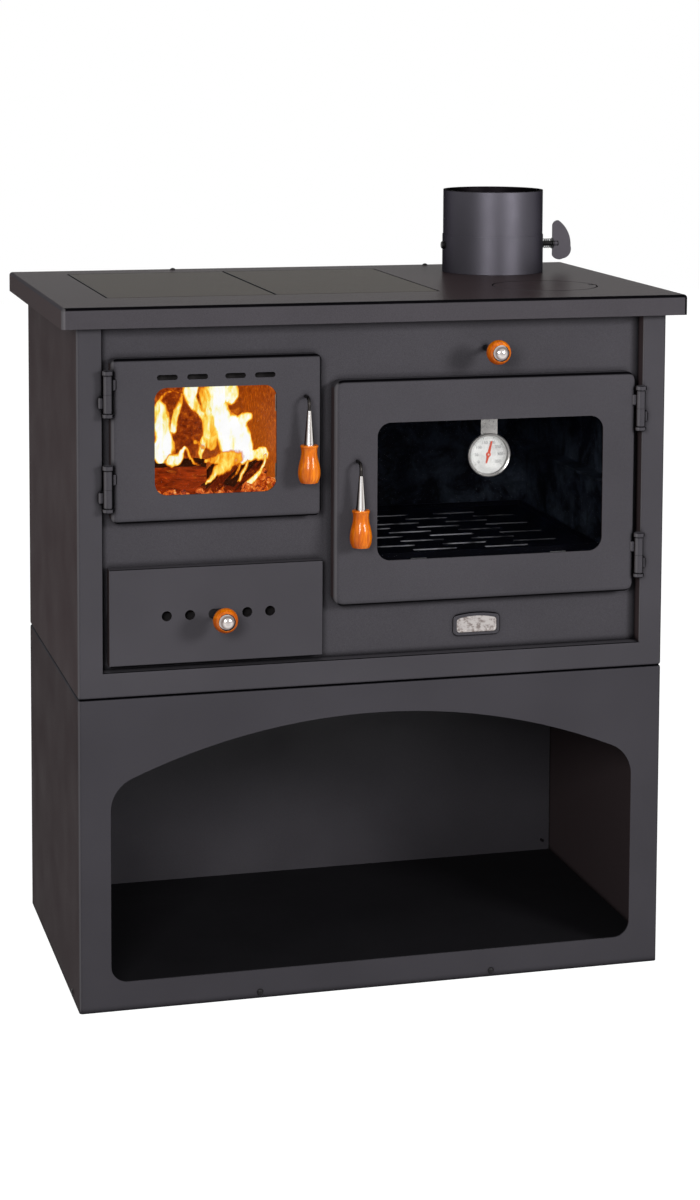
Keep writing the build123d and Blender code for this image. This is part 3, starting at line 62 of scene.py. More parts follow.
class Graph:
    """A material with its nodes added one by one."""

    def __init__(self, name):
        self.material = bpy.data.materials.new(name)
        self.material.use_nodes = True
        self.tree = self.material.node_tree
        self.shader = self.tree.nodes["Principled BSDF"]
        self.output = self.tree.nodes["Material Output"]

    def link(self, a, b):
        self.tree.links.new(a, b)

    def feed(self, value, socket):
        """Links a socket or sets a plain value."""
        if isinstance(value, bpy.types.NodeSocket):
            self.link(value, socket)
        elif socket.type == "RGBA" and len(value) == 3:
            socket.default_value = (*value, 1)
        else:
            socket.default_value = value

    def add(self, kind, values=None, **settings):
        node = self.tree.nodes.new(kind)
        for key, value in settings.items():
            setattr(node, key, value)
        for key, value in (values or {}).items():
            self.feed(value, node.inputs[key])
        return node

    def set(self, **sockets):
        """Feeds the shader's inputs, with _ for each space in their names."""
        for key, value in sockets.items():
            self.feed(value, self.shader.inputs[key.replace("_", " ")])

    def place(self, scale=(1, 1, 1), turn=(0, 0, 0)):
        """The place on the object."""
        where = self.add("ShaderNodeTexCoord")
        return self.add("ShaderNodeMapping", {"Vector": where.outputs["Object"], "Scale": scale,
                                              "Rotation": turn}).outputs["Vector"]

    def spot(self):
        """The place's X, Y and Z, each by its name."""
        return self.add("ShaderNodeSeparateXYZ", {0: self.place()}).outputs

    def normal(self, axis, sign=1):
        """How far a surface looks along an axis, or against it."""
        where = self.add("ShaderNodeTexCoord")
        parts = self.add("ShaderNodeSeparateXYZ", {0: where.outputs["Normal"]})
        return self.math("MULTIPLY", parts.outputs[axis], float(sign))

    def facing(self, axis, sign):
        """1 where a surface looks straight along an axis, and 0 where it turns away."""
        return self.spread(self.normal(axis, sign), 0.95, 0.99)

    def noise(self, where, scale, detail=2.0, rough=0.5, distortion=0.0):
        node = self.add("ShaderNodeTexNoise", {"Vector": where, "Scale": scale, "Detail": detail,
                                               "Roughness": rough, "Distortion": distortion})
        return node.outputs["Fac"]

    def ramp(self, value, stops):
        node = self.add("ShaderNodeValToRGB", {"Fac": value})
        elements = node.color_ramp.elements
        while len(elements) < len(stops):
            elements.new(0.5)
        for element, (at, color) in zip(elements, stops):
            element.position = at
            element.color = (*color, 1)
        return node.outputs["Color"]

    def math(self, kind, a, b, clamp=False):
        return self.add("ShaderNodeMath", {0: a, 1: b}, operation=kind, use_clamp=clamp).outputs["Value"]

    def spread(self, value, low, high, to_low=0.0, to_high=1.0):
        node = self.add("ShaderNodeMapRange", {"Value": value, "From Min": low, "From Max": high,
                                               "To Min": to_low, "To Max": to_high})
        return node.outputs["Result"]

    def mix(self, factor, a, b, blend="MIX"):
        """Mixes two colours. The node's sockets for colours come after those for numbers."""
        factor_in, a_in, b_in, color_out = 0, 6, 7, 2
        node = self.add("ShaderNodeMix", {factor_in: factor}, data_type="RGBA", blend_type=blend)
        self.feed(a, node.inputs[a_in])
        self.feed(b, node.inputs[b_in])
        return node.outputs[color_out]

    def bump(self, height, strength, distance):
        node = self.add("ShaderNodeBump", {"Height": height, "Strength": strength, "Distance": distance})
        return node.outputs["Normal"]

    def glow(self, color, strength):
        self.set(Emission_Color=color, Emission_Strength=strength)


def seen_directly(tree):
    """1 for what the camera sees, also in a mirror or through glass, and 0 for scattered light."""
    rays = tree.nodes.new("ShaderNodeLightPath")
    direct = rays.outputs["Is Camera Ray"]
    for kind in ("Is Glossy Ray", "Is Transmission Ray"):
        either = tree.nodes.new("ShaderNodeMath")
        either.operation = "MAXIMUM"
        tree.links.new(direct, either.inputs[0])
        tree.links.new(rays.outputs[kind], either.inputs[1])
        direct = either.outputs[0]
    return direct


def give(material, *names):
    """Puts a material on pieces of the frame."""
    for name in names:
        data = nodes[name].data
        data.materials.clear()
        data.materials.append(material)


# ---- paint ----
ROUNDED = (0.97, 0.4, 0.5)        # dark, light and start of the painted edge shade and highlight, on small rounded edges
FOLDED = (0.97, 0.4, 0.08)        # and on the top plate's wide folds
CREVICE_REACH = 0.008             # how near another surface is, for the painted crevice shade


def painted_edge_light_and_shade(g, base, dark, light, start):
    """Painted shade and highlight: rounded edges that look up, right or down are painted dark, and those
    that look left are painted light.
    """
    forward = g.math("MULTIPLY", g.normal("Y", -1), 6.0, clamp=True)
    up, down, right, left = (
        g.math("MULTIPLY", forward, g.spread(g.normal(axis, sign), start, start + 0.2), clamp=True)
        for axis, sign in (("Z", 1), ("Z", -1), ("X", 1), ("X", -1)))
    shade = g.math("MAXIMUM", g.math("MAXIMUM", up, down), right)
    shaded = g.mix(g.math("MULTIPLY", shade, dark), base, PAINTED_SHADE_BLACK)
    return g.mix(g.math("MULTIPLY", left, light), shaded, (0.2, 0.19, 0.2))


def painted_crevice_shade(g, base, depth):
    """Painted shade: paint goes dark where another surface is near, in gaps and inner corners."""
    near = g.add("ShaderNodeAmbientOcclusion", {"Distance": CREVICE_REACH}, samples=6).outputs["AO"]
    return g.mix(g.spread(near, 0.5, 0.92, depth, 0.0), base, PAINTED_SHADE_BLACK)


def painted_seam_shade(g, base, name):
    """Painted shade of the gap round a plate: a dark line, widest at its left."""
    low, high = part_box(name)
    left, right, front, back = 0.0024, 0.0016, 0.0006, 0.0009
    spot = g.spot()
    for axis, plane, width in (("X", low[0], left), ("X", high[0], -right),
                               ("Y", low[1], front), ("Y", high[1], -back)):
        line = g.spread(spot[axis], plane + 0.8 * width, plane + width, 1.0, 0.0)
        base = g.mix(line, base, grey(0.003))
    return base


def paint(name, color, rough=0.5, grain=0.35, cloud=0.12, edges=None, gloss=0.15, crevice=0.0,
          on_top=None, on_left=None, seams=None):
    """Matte heat-resistant paint: a fine sprayed grain, and faint clouds in shade and gloss.

    on_top and on_left are the colours of flat faces that look up and left, where on_left is painted light
    and shade for that side; edges are the values of the painted edge shade and highlight, crevice is the
    depth of the painted crevice shade, and seams names the plate round which a painted shade of its gap
    goes.
    """
    g = Graph(name)
    where = g.place()
    clouds = g.noise(where, scale=6, detail=3, rough=0.55)
    shade = g.ramp(clouds, [(0.3, scaled(color, 1 - cloud)), (0.7, scaled(color, 1 + cloud))])
    specks = g.noise(where, scale=1800, detail=1, rough=0.5)
    base = g.mix(1.0, shade, g.ramp(specks, [(0.35, grey(0.82)), (0.65, grey(1.15))]), "MULTIPLY")
    dull = g.spread(g.noise(where, scale=14, detail=3), 0.3, 0.7, rough - 0.05, rough + 0.05)
    # Painted light and shade: faces that look left take a colour of their own.
    if on_left:
        base = g.mix(g.facing("X", -1), base, on_left)
    if on_top:
        brushed = g.noise(g.place((0.15, 1, 1)), scale=60, detail=4, rough=0.6)
        top = g.ramp(brushed, [(0.3, scaled(on_top, 0.85)), (0.7, scaled(on_top, 1.15))])
        upward = g.facing("Z", 1)
        base = g.mix(upward, base, top)
        dull = g.math("SUBTRACT", 0.55, g.math("MULTIPLY", upward, 0.25))
    if edges:
        base = painted_edge_light_and_shade(g, base, *edges)
    if seams:
        base = painted_seam_shade(g, base, seams)
    if crevice:
        base = painted_crevice_shade(g, base, crevice)
    fine = g.noise(where, scale=900, detail=3, rough=0.6)
    g.set(Base_Color=base, Roughness=dull, Specular_IOR_Level=gloss, Normal=g.bump(fine, grain, 0.0003))
    return g.material


def outer_paint(name, color, on_left, **more):
    """The paint of the cabinet's and the plinth's outside, with painted shade on its rounded edges and in
    its crevices, a painted highlight on edges that look left, and painted light and shade on faces that look
    left.
    """
    settings = {"edges": ROUNDED, "gloss": 0.004, **more}
    return paint(name, color, 0.55, cloud=0.07, crevice=0.9, on_left=on_left, **settings)


def pipe_paint(color, rough, bore):
    """The spigot's paint, with metal flake: a soft sheen outside, and a painted shade inside and on the rim.
    """
    g = Graph("collar_paint")
    where = g.place()
    clouds = g.noise(where, scale=9, detail=3)
    base = g.ramp(clouds, [(0.3, scaled(color, 0.9)), (0.7, color)])
    low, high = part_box("flue_collar")
    middle = (low + high) / 2
    spot = g.spot()
    squares = [g.math("POWER", g.math("SUBTRACT", spot[axis], float(middle[i])), 2.0)
               for i, axis in enumerate("XY")]
    inside = g.math("LESS_THAN", g.math("ADD", *squares), bore ** 2)
    rim = g.math("GREATER_THAN", spot["Z"], float(high[2]) - 0.0008)
    # Painted shade: near black inside the bore and on the rim.
    painted_bore_shade = (0.006, 0.005, 0.006)
    g.set(Base_Color=g.mix(g.math("MAXIMUM", inside, rim), base, painted_bore_shade), Metallic=1.0,
          Roughness=g.spread(g.noise(where, scale=30, detail=3), 0.3, 0.7, rough - 0.03, rough + 0.03),
          Specular_Tint=grey(0.1),
          Normal=g.bump(g.noise(where, scale=900, detail=3, rough=0.6), 0.3, 0.0003))
    return g.material


# The outer paints carry painted shade on edges and in crevices; faces that look left are painted darker on
# the plinth and cabinet, as shade, and lighter on the top plate, as light.
give(outer_paint("plinth_outer_paint", (0.052, 0.049, 0.056), on_left=(0.048, 0.036, 0.038)),
     "plinth_shell")
give(outer_paint("body_paint", (0.062, 0.0585, 0.066), on_left=(0.06, 0.044, 0.046)),
     "casing_shell", "casing_back_panel", "front_panel", "hinge_pintles", "firebox_door_shell",
     "firebox_door_hinge_sleeves", "oven_door_shell", "oven_door_hinge_sleeves", "ash_drawer_front")
give(outer_paint("top_paint", (0.063, 0.058, 0.065), on_left=(0.078, 0.06, 0.062), edges=FOLDED,
                 gloss=0.003, on_top=(0.034, 0.0245, 0.026)),
     "top_plate", "cleaning_lid")
give(pipe_paint((0.074, 0.07, 0.083), 0.46, bore=0.0655), "flue_collar")
give(paint("key_paint", (0.07, 0.063, 0.075)), "damper_key")
# Near-black paint of the screws, spring and spindle; on the air register it is a painted shade that keeps
# the drawer's air holes dark.
give(paint("black_paint_and_hole_shade", (0.008, 0.007, 0.008), 0.4),
     "panel_screws", "air_register", "damper_spring", "damper_spindle")
give(paint("plinth_inner_paint", (0.042, 0.039, 0.045), 0.42, gloss=0.2), "plinth_back_panel")
give(paint("plinth_floor_paint", (0.01, 0.0095, 0.011), 0.7, gloss=0.02), "plinth_floor")
give(paint("inner_steel", (0.016, 0.0145, 0.015), 0.65, gloss=0.05),
     "casing_base", "firebox_shell", "smoke_baffle", "firebox_door_gasket_frame",
     "oven_door_gasket_frame", "ash_pan", "draught_plate")
give(paint("grate_iron", (0.03, 0.026, 0.024), 0.8, grain=0.9, cloud=0.3), "fire_grate", "log_guard")
IRON = (0.033, 0.0238, 0.0155)
# The plates' iron takes a painted shade in its crevices and round its seams.
for plate in ("cooktop_plate_left", "cooktop_plate_right"):
    give(paint(plate + "_iron", IRON, 0.3, grain=0.5, cloud=0.2, gloss=0.003, crevice=0.95, on_top=IRON,
               seams=plate), plate)
give(paint("dial_white", (0.86, 0.86, 0.84), 0.4, grain=0.05, cloud=0.02), "thermometer_dial")
give(paint("pointer_red", (0.75, 0.08, 0.03), 0.4, grain=0.05, cloud=0.02), "thermometer_pointer")


# ---- metal ----
def metal(name, color, rough):
    """Bare metal with fine scratches."""
    g = Graph(name)
    scratches = g.noise(g.place(), scale=260, detail=4, rough=0.7)
    blotches = g.noise(g.place(), scale=60, detail=3)
    g.set(Base_Color=g.ramp(blotches, [(0.3, scaled(color, 0.88)), (0.7, color)]), Metallic=1.0,
          Roughness=g.spread(scratches, 0.25, 0.75, rough - 0.08, rough + 0.08),
          Normal=g.bump(scratches, 0.15, 0.0002))
    return g.material


def polished_cone_painted_reflection():
    """Polished steel with a painted reflection: dark and bright bands along the cone, set by which way its
    surface looks.
    """
    g = Graph("bright_steel")
    across = g.spread(g.normal("X"), -1.0, 1.0)
    painted_reflection_stripes = g.ramp(across, [(0.0, (0.06, 0.045, 0.04)), (0.16, (0.2, 0.17, 0.16)),
                              (0.24, (0.75, 0.73, 0.72)), (0.42, (0.8, 0.79, 0.78)),
                              (0.5, (0.2, 0.16, 0.15)), (0.6, (0.5, 0.46, 0.44)),
                              (0.72, (0.7, 0.68, 0.66)), (0.84, (0.14, 0.1, 0.09)),
                              (1.0, (0.05, 0.04, 0.04))])
    g.set(Base_Color=painted_reflection_stripes, Metallic=1.0, Roughness=0.16)
    return g.material


def polished_dome_painted_reflection():
    """Polished dome with a painted reflection: bright in the middle, with darker rings towards its rim."""
    g = Graph("cap_steel")
    # The rings are a painted reflection, set by how far the surface looks forward.
    rings = g.ramp(g.normal("Y", -1), [(0.0, (0.05, 0.03, 0.02)), (0.35, (0.12, 0.08, 0.06)),
                                       (0.6, (0.5, 0.46, 0.44)), (0.8, (0.18, 0.14, 0.13)),
                                       (0.93, (0.6, 0.56, 0.54)), (1.0, (0.45, 0.41, 0.4))])
    g.set(Base_Color=rings, Metallic=1.0, Roughness=0.12)
    return g.material


def cast_badge():
    """Cast silvery metal with an uneven face."""
    g = Graph("badge_metal")
    uneven = g.noise(g.place((0.7, 1, 1)), scale=260, detail=3, rough=0.6)
    g.set(Base_Color=g.ramp(uneven, [(0.38, (0.2, 0.17, 0.16)), (0.55, (0.42, 0.39, 0.38))]),
          Metallic=1.0, Roughness=0.28, Normal=g.bump(uneven, 0.5, 0.0006))
    return g.material


give(polished_cone_painted_reflection(), "firebox_handle_ferrule", "oven_handle_ferrule")
give(polished_dome_painted_reflection(), "air_knob_cap", "draught_knob_cap")
give(cast_badge(), "badge_plate")
give(metal("case_steel", (0.34, 0.33, 0.32), 0.3), "thermometer_case")
give(metal("zinc", (0.45, 0.45, 0.46), 0.35), "firebox_door_glass_clips", "oven_door_glass_clips")
give(metal("plain_steel", (0.045, 0.044, 0.047), 0.5), "damper_disc", "draught_rod")
give(metal("dark_rod", (0.03, 0.027, 0.026), 0.4), "firebox_handle_rod", "oven_handle_rod")


# ---- enamel ----
ENAMEL = (0.002, 0.002, 0.003)


def shelf_enamel():
    """Black enamel, with a painted highlight along the slots' edges that face the door, most at the left."""
    g = Graph("shelf_enamel")
    low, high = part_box("oven_shelf")
    spot = g.spot()
    rim_start, rim_end = 0.008, 0.012
    toward_door = g.spread(g.normal("Y", -1), 0.3, 0.7)
    off_the_rim = g.math("MULTIPLY", g.spread(spot["Y"], low[1] + rim_start, low[1] + rim_end),
                         g.spread(spot["Y"], high[1] - rim_start, high[1] - rim_end))
    at_left = g.spread(spot["X"], low[0] + 0.12, low[0] + 0.3, 1.0, 0.12)
    patchy = g.spread(g.noise(g.place(), scale=30, detail=3), 0.4, 0.56, 0.1, 1.0)
    # Painted highlight on the slots' edges, in patches.
    painted_slot_highlight = g.math("MULTIPLY", g.math("MULTIPLY", toward_door, off_the_rim),
                  g.math("MULTIPLY", at_left, patchy))
    g.set(Base_Color=g.mix(painted_slot_highlight, ENAMEL, (0.24, 0.24, 0.26)), Roughness=0.4, Specular_IOR_Level=0.02,
          Normal=g.bump(g.noise(g.place(), scale=700, detail=3), 0.2, 0.0002))
    return g.material


def oven_enamel():
    """Black enamel, lighter and bluish in faint patches."""
    g = Graph("oven_enamel")
    bluish_patches = g.noise(g.place(), scale=24, detail=7, rough=0.72, distortion=0.4)
    g.set(Base_Color=g.ramp(bluish_patches, [(0.42, ENAMEL), (0.78, (0.05, 0.065, 0.09))]), Roughness=0.5,
          Specular_IOR_Level=0.05, Normal=g.bump(g.noise(g.place(), scale=500, detail=3), 0.3, 0.0003))
    return g.material


give(shelf_enamel(), "oven_shelf")
give(oven_enamel(), "oven_box", "oven_shelf_rails")


# ---- firebrick, glass, wood and rope ----
def firebrick(thickness=0.025):
    """Fired clay with painted firelight: it glows on the side of the fire, most at its lower right."""
    g = Graph("firebrick")
    where = g.place()
    spot = g.spot()
    blotches = g.noise(where, scale=45, detail=5, rough=0.65)
    shade = g.ramp(blotches, [(0.3, (0.06, 0.022, 0.008)), (0.55, (0.15, 0.07, 0.03)),
                              (0.8, (0.24, 0.12, 0.06))])
    pores = g.noise(where, scale=420, detail=3, rough=0.6)
    dots = g.ramp(pores, [(0.38, (0.35, 0.3, 0.28)), (0.52, grey(1))])
    # Painted firelight, in blotches, on the faces towards the fire.
    glow = g.ramp(g.noise(where, scale=160, detail=6, rough=0.75),
                  [(0.36, (0.09, 0.007, 0.0012)), (0.52, (0.28, 0.034, 0.002)),
                   (0.68, (0.66, 0.14, 0.006))])
    # Painted firelight, brighter towards the lower right.
    painted_firelight_low_right = g.math("SUBTRACT", spot["X"], g.math("MULTIPLY", spot["Z"], 0.5))
    glow = g.mix(g.spread(painted_firelight_low_right, -0.48, -0.42, 0.0, 0.35), glow, (0.55, 0.12, 0.002), "SCREEN")
    low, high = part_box("firebricks_side")
    left, right = low[0] + thickness, high[0] - thickness
    outside = g.math("MAXIMUM", g.spread(spot["X"], left - 0.003, left - 0.001, 1.0, 0.0),
                     g.spread(spot["X"], right + 0.001, right + 0.003))
    g.glow(g.mix(outside, glow, grey(0.0)), 0.9)
    g.set(Base_Color=g.mix(1.0, shade, dots, "MULTIPLY"), Roughness=0.9, Normal=g.bump(pores, 0.6, 0.001))
    return g.material


def glass(name, tint, gloss, thinnest, thickest, film_scale, rough=0.05):
    """A pane that mirrors at its face and lets the view through, with a faint film of its tint: sooty on the
    fire's pane, a painted shade on the oven's pane and grey on the dial's lens.
    """
    g = Graph(name)
    film = g.noise(g.place(), scale=film_scale, detail=4, rough=0.6)
    g.set(Base_Color=tint, Roughness=rough, IOR=1.45, Specular_IOR_Level=gloss,
          Alpha=g.spread(film, 0.35, 0.7, thinnest, thickest))
    return g.material


def wood():
    """Varnished turned wood, with grain along the turning axis, and a painted shade on faces that look down
    and left.
    """
    g = Graph("varnished_wood")
    rings = g.noise(g.place((1, 1, 0.12)), scale=300, detail=4, rough=0.6, distortion=0.6)
    shade = g.ramp(rings, [(0.3, (0.46, 0.075, 0.001)), (0.5, (0.7, 0.155, 0.001)),
                           (0.72, (0.86, 0.24, 0.002))])
    # Painted shade: faces that look down and those that look left go darker.
    painted_shade_low_left = g.math("MULTIPLY", g.normal("Z", -1), 0.8)
    painted_shade_low_left = g.math("ADD", painted_shade_low_left, g.math("MULTIPLY", g.normal("X", -1), 0.45))
    shade = g.mix(g.spread(painted_shade_low_left, 0.05, 0.8, 0.0, 0.75), shade, (0.4, 0.055, 0.001))
    streaks = g.noise(g.place((1, 1, 0.05)), scale=800, detail=3, rough=0.6)
    dark = g.ramp(streaks, [(0.35, (0.65, 0.55, 0.45)), (0.55, grey(1))])
    g.set(Base_Color=g.mix(0.5, shade, dark, "MULTIPLY"), Roughness=0.25, Specular_IOR_Level=0.1,
          Coat_Weight=0.3, Coat_Roughness=0.04, Normal=g.bump(streaks, 0.06, 0.0002))
    return g.material


def rope():
    """Plaited glass rope."""
    g = Graph("rope")
    weave = g.add("ShaderNodeTexWave", {"Vector": g.place(turn=(0.6, 0.4, 0.8)), "Scale": 160,
                                        "Distortion": 1.0}).outputs["Fac"]
    g.set(Base_Color=g.ramp(weave, [(0.2, (0.1, 0.095, 0.09)), (0.8, (0.3, 0.29, 0.27))]), Roughness=0.95,
          Normal=g.bump(weave, 0.7, 0.001))
    return g.material


give(firebrick(), "firebricks_side", "firebrick_back")
give(glass("fire_glass", (0.02, 0.015, 0.01), 0.1, 0.02, 0.06, 30), "firebox_door_glass")
# Its near-black film is a painted shade that dims the oven behind the pane.
give(glass("oven_glass", (0.002, 0.0025, 0.006), 0.03, 0.02, 0.14, 40), "oven_door_glass")
give(glass("dial_lens", grey(0.6), 0.15, 0.02, 0.05, 200, rough=0.04), "thermometer_lens")
give(wood(), "firebox_handle_grip", "oven_handle_grip", "air_knob", "draught_knob")
give(rope(), "firebox_door_gasket", "oven_door_gasket")


# ---- new pieces ----
def add_piece(name, mesh, material, body):
    """Shows a mesh as a piece that rides on a body."""
    mesh.materials.append(material)
    thing = bpy.data.objects.new(name, mesh)
    scene.collection.objects.link(thing)
    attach(thing, body)
    return thing


def built_mesh(name, work):
    """Turns a bmesh into a mesh and frees it."""
    mesh = bpy.data.meshes.new(name)
    work.to_mesh(mesh)
    work.free()
    return mesh


def smooth_line(points, steps):
    """Points on a smooth curve through the given ones. Each has any number of values."""
    ends = [points[0]] + list(points) + [points[-1]]
    line = []
    for i in range(1, len(ends) - 2):
        p0, p1, p2, p3 = (Vector(p) for p in ends[i - 1:i + 3])
        for s in range(steps):
            t = s / steps
            line.append(0.5 * (2 * p1 + (p2 - p0) * t + (2 * p0 - 5 * p1 + 4 * p2 - p3) * t * t
                               + (3 * p1 - p0 - 3 * p2 + p3) * t ** 3))
    return line + [Vector(points[-1])]


# ---- flames ----
# A place in the fire is given as it is seen in the door's window, in mm, and as a depth behind the
# door's face. The slopes are those of the line of sight.
SIGHT_X, SIGHT_Z = 0.207, 0.159
DOOR_FACE = FRONT - 0.006
NOISE_SEED = 1795523320           # Blender's own noise otherwise takes its seed from the clock

# Strokes of flame: points of (x, z, half width, warmth), in mm as seen in the window.
BACK_FLAMES = [
    [(-273, 669, 9.0, 0.98), (-270, 676, 13.5, 0.98), (-268, 688, 11.8, 0.96),
     (-269, 698, 9.8, 0.94), (-270, 708, 9.4, 0.94), (-270, 718, 8.1, 0.89),
     (-272, 728, 7.9, 0.85), (-275, 735, 3.9, 0.78)],
    [(-256, 702, 5.2, 0.83), (-255, 711, 5.2, 0.74), (-253, 721, 5.2, 0.70),
     (-249, 731, 4.2, 0.66), (-247, 741, 2.9, 0.56), (-246, 757, 2.2, 0.38)],
    [(-272, 731, 3.5, 0.78), (-272, 738, 2.9, 0.58), (-267, 745, 2.5, 0.50),
     (-259, 750, 2.0, 0.46), (-251, 748, 2.0, 0.50)],
    [(-231, 777, 6.7, 0.88), (-234, 755, 10.5, 0.96), (-235, 744, 8.8, 0.94),
     (-232, 736, 6.7, 0.90), (-226, 728, 6.0, 0.86), (-220, 720, 4.8, 0.84),
     (-217, 712, 4.4, 0.80), (-215, 703, 4.4, 0.76), (-216, 694, 3.9, 0.72),
     (-218, 685, 4.4, 0.72), (-220, 677, 3.9, 0.70), (-222, 669, 3.2, 0.68),
     (-221, 663, 2.2, 0.58)],
    [(-219, 751, 5.7, 0.48), (-215, 740, 7.0, 0.68), (-212, 729, 7.4, 0.76),
     (-211, 718, 7.4, 0.74), (-209, 706, 8.3, 0.72), (-209, 694, 8.3, 0.68),
     (-208, 683, 7.0, 0.68)],
    [(-192, 777, 10.1, 0.94), (-199, 755, 13.8, 0.98), (-198, 743, 12.5, 1.01),
     (-201, 732, 10.5, 1.01), (-198, 722, 12.1, 1.01), (-192, 711, 13.8, 1.03),
     (-185, 699, 17.9, 1.05), (-181, 688, 18.9, 1.05), (-176, 678, 17.9, 1.03),
     (-168, 669, 10.5, 0.98)],
    [(-187, 751, 11.5, 0.92), (-182, 743, 8.1, 0.85), (-184, 736, 7.0, 0.88)],
    [(-178, 702, 10.5, 0.98), (-170, 709, 7.4, 0.94), (-165, 715, 6.7, 0.89),
     (-162, 716, 6.6, 0.85)],
    [(-165, 668, 7.8, 0.98), (-153, 668, 6.7, 0.94), (-145, 668, 7.0, 0.87),
     (-141, 670, 4.8, 0.90)],
]
FRONT_FLAMES = [
    [(-259, 665, 6.7, 0.94), (-249, 668, 5.7, 0.85), (-246, 675, 3.4, 0.93),
     (-241, 680, 3.0, 0.83), (-236, 675, 2.7, 0.64), (-235, 668, 2.4, 0.60),
     (-230, 662, 2.4, 0.58), (-224, 659, 1.3, 0.53)],
    [(-230, 698, 1.0, 0.48), (-228, 690, 2.0, 0.54), (-224, 683, 2.7, 0.64),
     (-220, 677, 2.5, 0.60)],
    [(-178, 666, 9.4, 0.62), (-192, 663, 8.8, 0.60), (-206, 665, 6.1, 0.58),
     (-216, 663, 3.0, 0.56)],
    [(-189, 659, 8.1, 0.60), (-196, 652, 7.9, 0.60), (-203, 646, 4.1, 0.64),
     (-210, 639, 2.5, 0.80), (-216, 633, 1.7, 0.78), (-220, 629, 1.0, 0.58)],
    [(-163, 662, 2.0, 0.90), (-165, 653, 2.4, 0.94), (-169, 646, 2.5, 0.90),
     (-172, 639, 2.3, 0.88), (-177, 634, 1.3, 0.58)],
    [(-141, 668, 2.3, 0.92), (-143, 658, 2.4, 0.87), (-147, 649, 2.7, 0.85),
     (-152, 640, 3.4, 0.87), (-158, 635, 3.7, 0.85), (-165, 633, 2.0, 0.88)],
    [(-174, 655, 2.4, 0.78), (-178, 647, 2.0, 0.64), (-184, 639, 1.6, 0.58),
     (-190, 634, 1.0, 0.58)],
]
CURTAIN_LEFT, CURTAIN_BOTTOM, CURTAIN_STEP = -288, 622, 1.5       # mm
CURTAIN_COLUMNS, CURTAIN_ROWS = 112, 104
BULGE = 7                         # mm that the hottest part comes forward
COLDEST_SHOWN = 0.02
RIPPLE_X, RIPPLE_Z = 0.07, 0.035  # turbulence per mm, finer across than up
PULL_X, PULL_Z = 3.4, 4.5         # mm that turbulence pulls a place aside
REACH = 1.26                      # of a stroke's warmth, in half widths
SOFT_EDGE, SOFT_SHARE = 1.6, 0.34     # the fall of warmth: mm, and a share of the half width


def behind(x, z, depth):
    """A place in the fire, in metres."""
    return Vector(((x + SIGHT_X * depth) / 1000, DOOR_FACE + depth / 1000, (z - SIGHT_Z * depth) / 1000))


def flame_material():
    """Glowing gas: white-yellow inside, orange at its ragged edges."""
    g = Graph("flame")
    hot = g.add("ShaderNodeAttribute", attribute_name="warmth").outputs["Fac"]
    ragged = g.noise(g.place((1, 1, 0.45)), scale=110, detail=4, rough=0.65, distortion=0.8)
    wisps = g.noise(g.place((1, 1, 0.2)), scale=60, detail=3, rough=0.6, distortion=1.5)
    hot = g.math("ADD", hot, g.spread(ragged, 0.25, 0.75, -0.22, 0.2))
    hot = g.math("ADD", hot, g.spread(wisps, 0.3, 0.7, -0.2, 0.16), clamp=True)
    color = g.ramp(hot, [(0.0, (0.2, 0.02, 0.0)), (0.2, (0.5, 0.06, 0.001)), (0.42, (0.86, 0.24, 0.008)),
                         (0.58, (1.0, 0.48, 0.03)), (0.74, (1.0, 0.82, 0.16)), (0.88, (1.0, 0.98, 0.7)),
                         (1.0, grey(1))])
    g.glow(color, 1.05)
    g.set(Base_Color=grey(0), Roughness=1.0, Specular_IOR_Level=0.0,
          Alpha=g.spread(hot, 0.08, 0.45, 0.0, 1.0))
    return g.material


def warmth_at(x, z, strokes, layer):
    """How hot the flames are at a place: full inside a stroke and falling at its edge."""
    pull = noise.turbulence_vector(Vector((x * RIPPLE_X, layer, z * RIPPLE_Z)), 4, False)
    x, z = x + PULL_X * pull[0], z + PULL_Z * pull[2]
    best = 0.0
    for stroke in strokes:
        for stroke_x, stroke_z, half, warmth in stroke:
            square = (x - stroke_x) ** 2 + (z - stroke_z) ** 2
            if square < (REACH * half) ** 2:
                inward = (REACH * half - math.sqrt(square)) / (SOFT_EDGE + SOFT_SHARE * half)
                best = max(best, warmth * min(1.0, inward))
    return best


def flames(name, depth, strokes, layer):
    """A rounded curtain of flame, with its warmth as an attribute and its cold parts left out.

    layer is a place in the noise, which gives each curtain ripples of its own.
    """
    strokes = [smooth_line(stroke, 6) for stroke in strokes]
    points, heats, faces = [], [], []
    for j in range(CURTAIN_ROWS):
        for i in range(CURTAIN_COLUMNS):
            x, z = CURTAIN_LEFT + CURTAIN_STEP * i, CURTAIN_BOTTOM + CURTAIN_STEP * j
            warmth = warmth_at(x, z, strokes, layer)
            heats.append(warmth)
            points.append(behind(x, z, depth - BULGE * min(warmth, 1.0)))
    for j in range(CURTAIN_ROWS - 1):
        for i in range(CURTAIN_COLUMNS - 1):
            corner = j * CURTAIN_COLUMNS + i
            face = (corner, corner + 1, corner + CURTAIN_COLUMNS + 1, corner + CURTAIN_COLUMNS)
            if max(heats[k] for k in face) > COLDEST_SHOWN:
                faces.append(face)
    mesh = bpy.data.meshes.new(name)
    mesh.from_pydata(points, [], faces)
    mesh.polygons.foreach_set("use_smooth", [True] * len(mesh.polygons))
    mesh.attributes.new("warmth", "FLOAT", "POINT").data.foreach_set("value", heats)
    work = bmesh.new()
    work.from_mesh(mesh)
    bmesh.ops.delete(work, geom=[v for v in work.verts if not v.link_faces], context="VERTS")
    work.to_mesh(mesh)
    work.free()
    add_piece(name, mesh, flame_material(), "stove")


noise.seed_set(NOISE_SEED)
flames("flames_back", 112, BACK_FLAMES, 3.0)
flames("flames_front", 84, FRONT_FLAMES, 8.0)


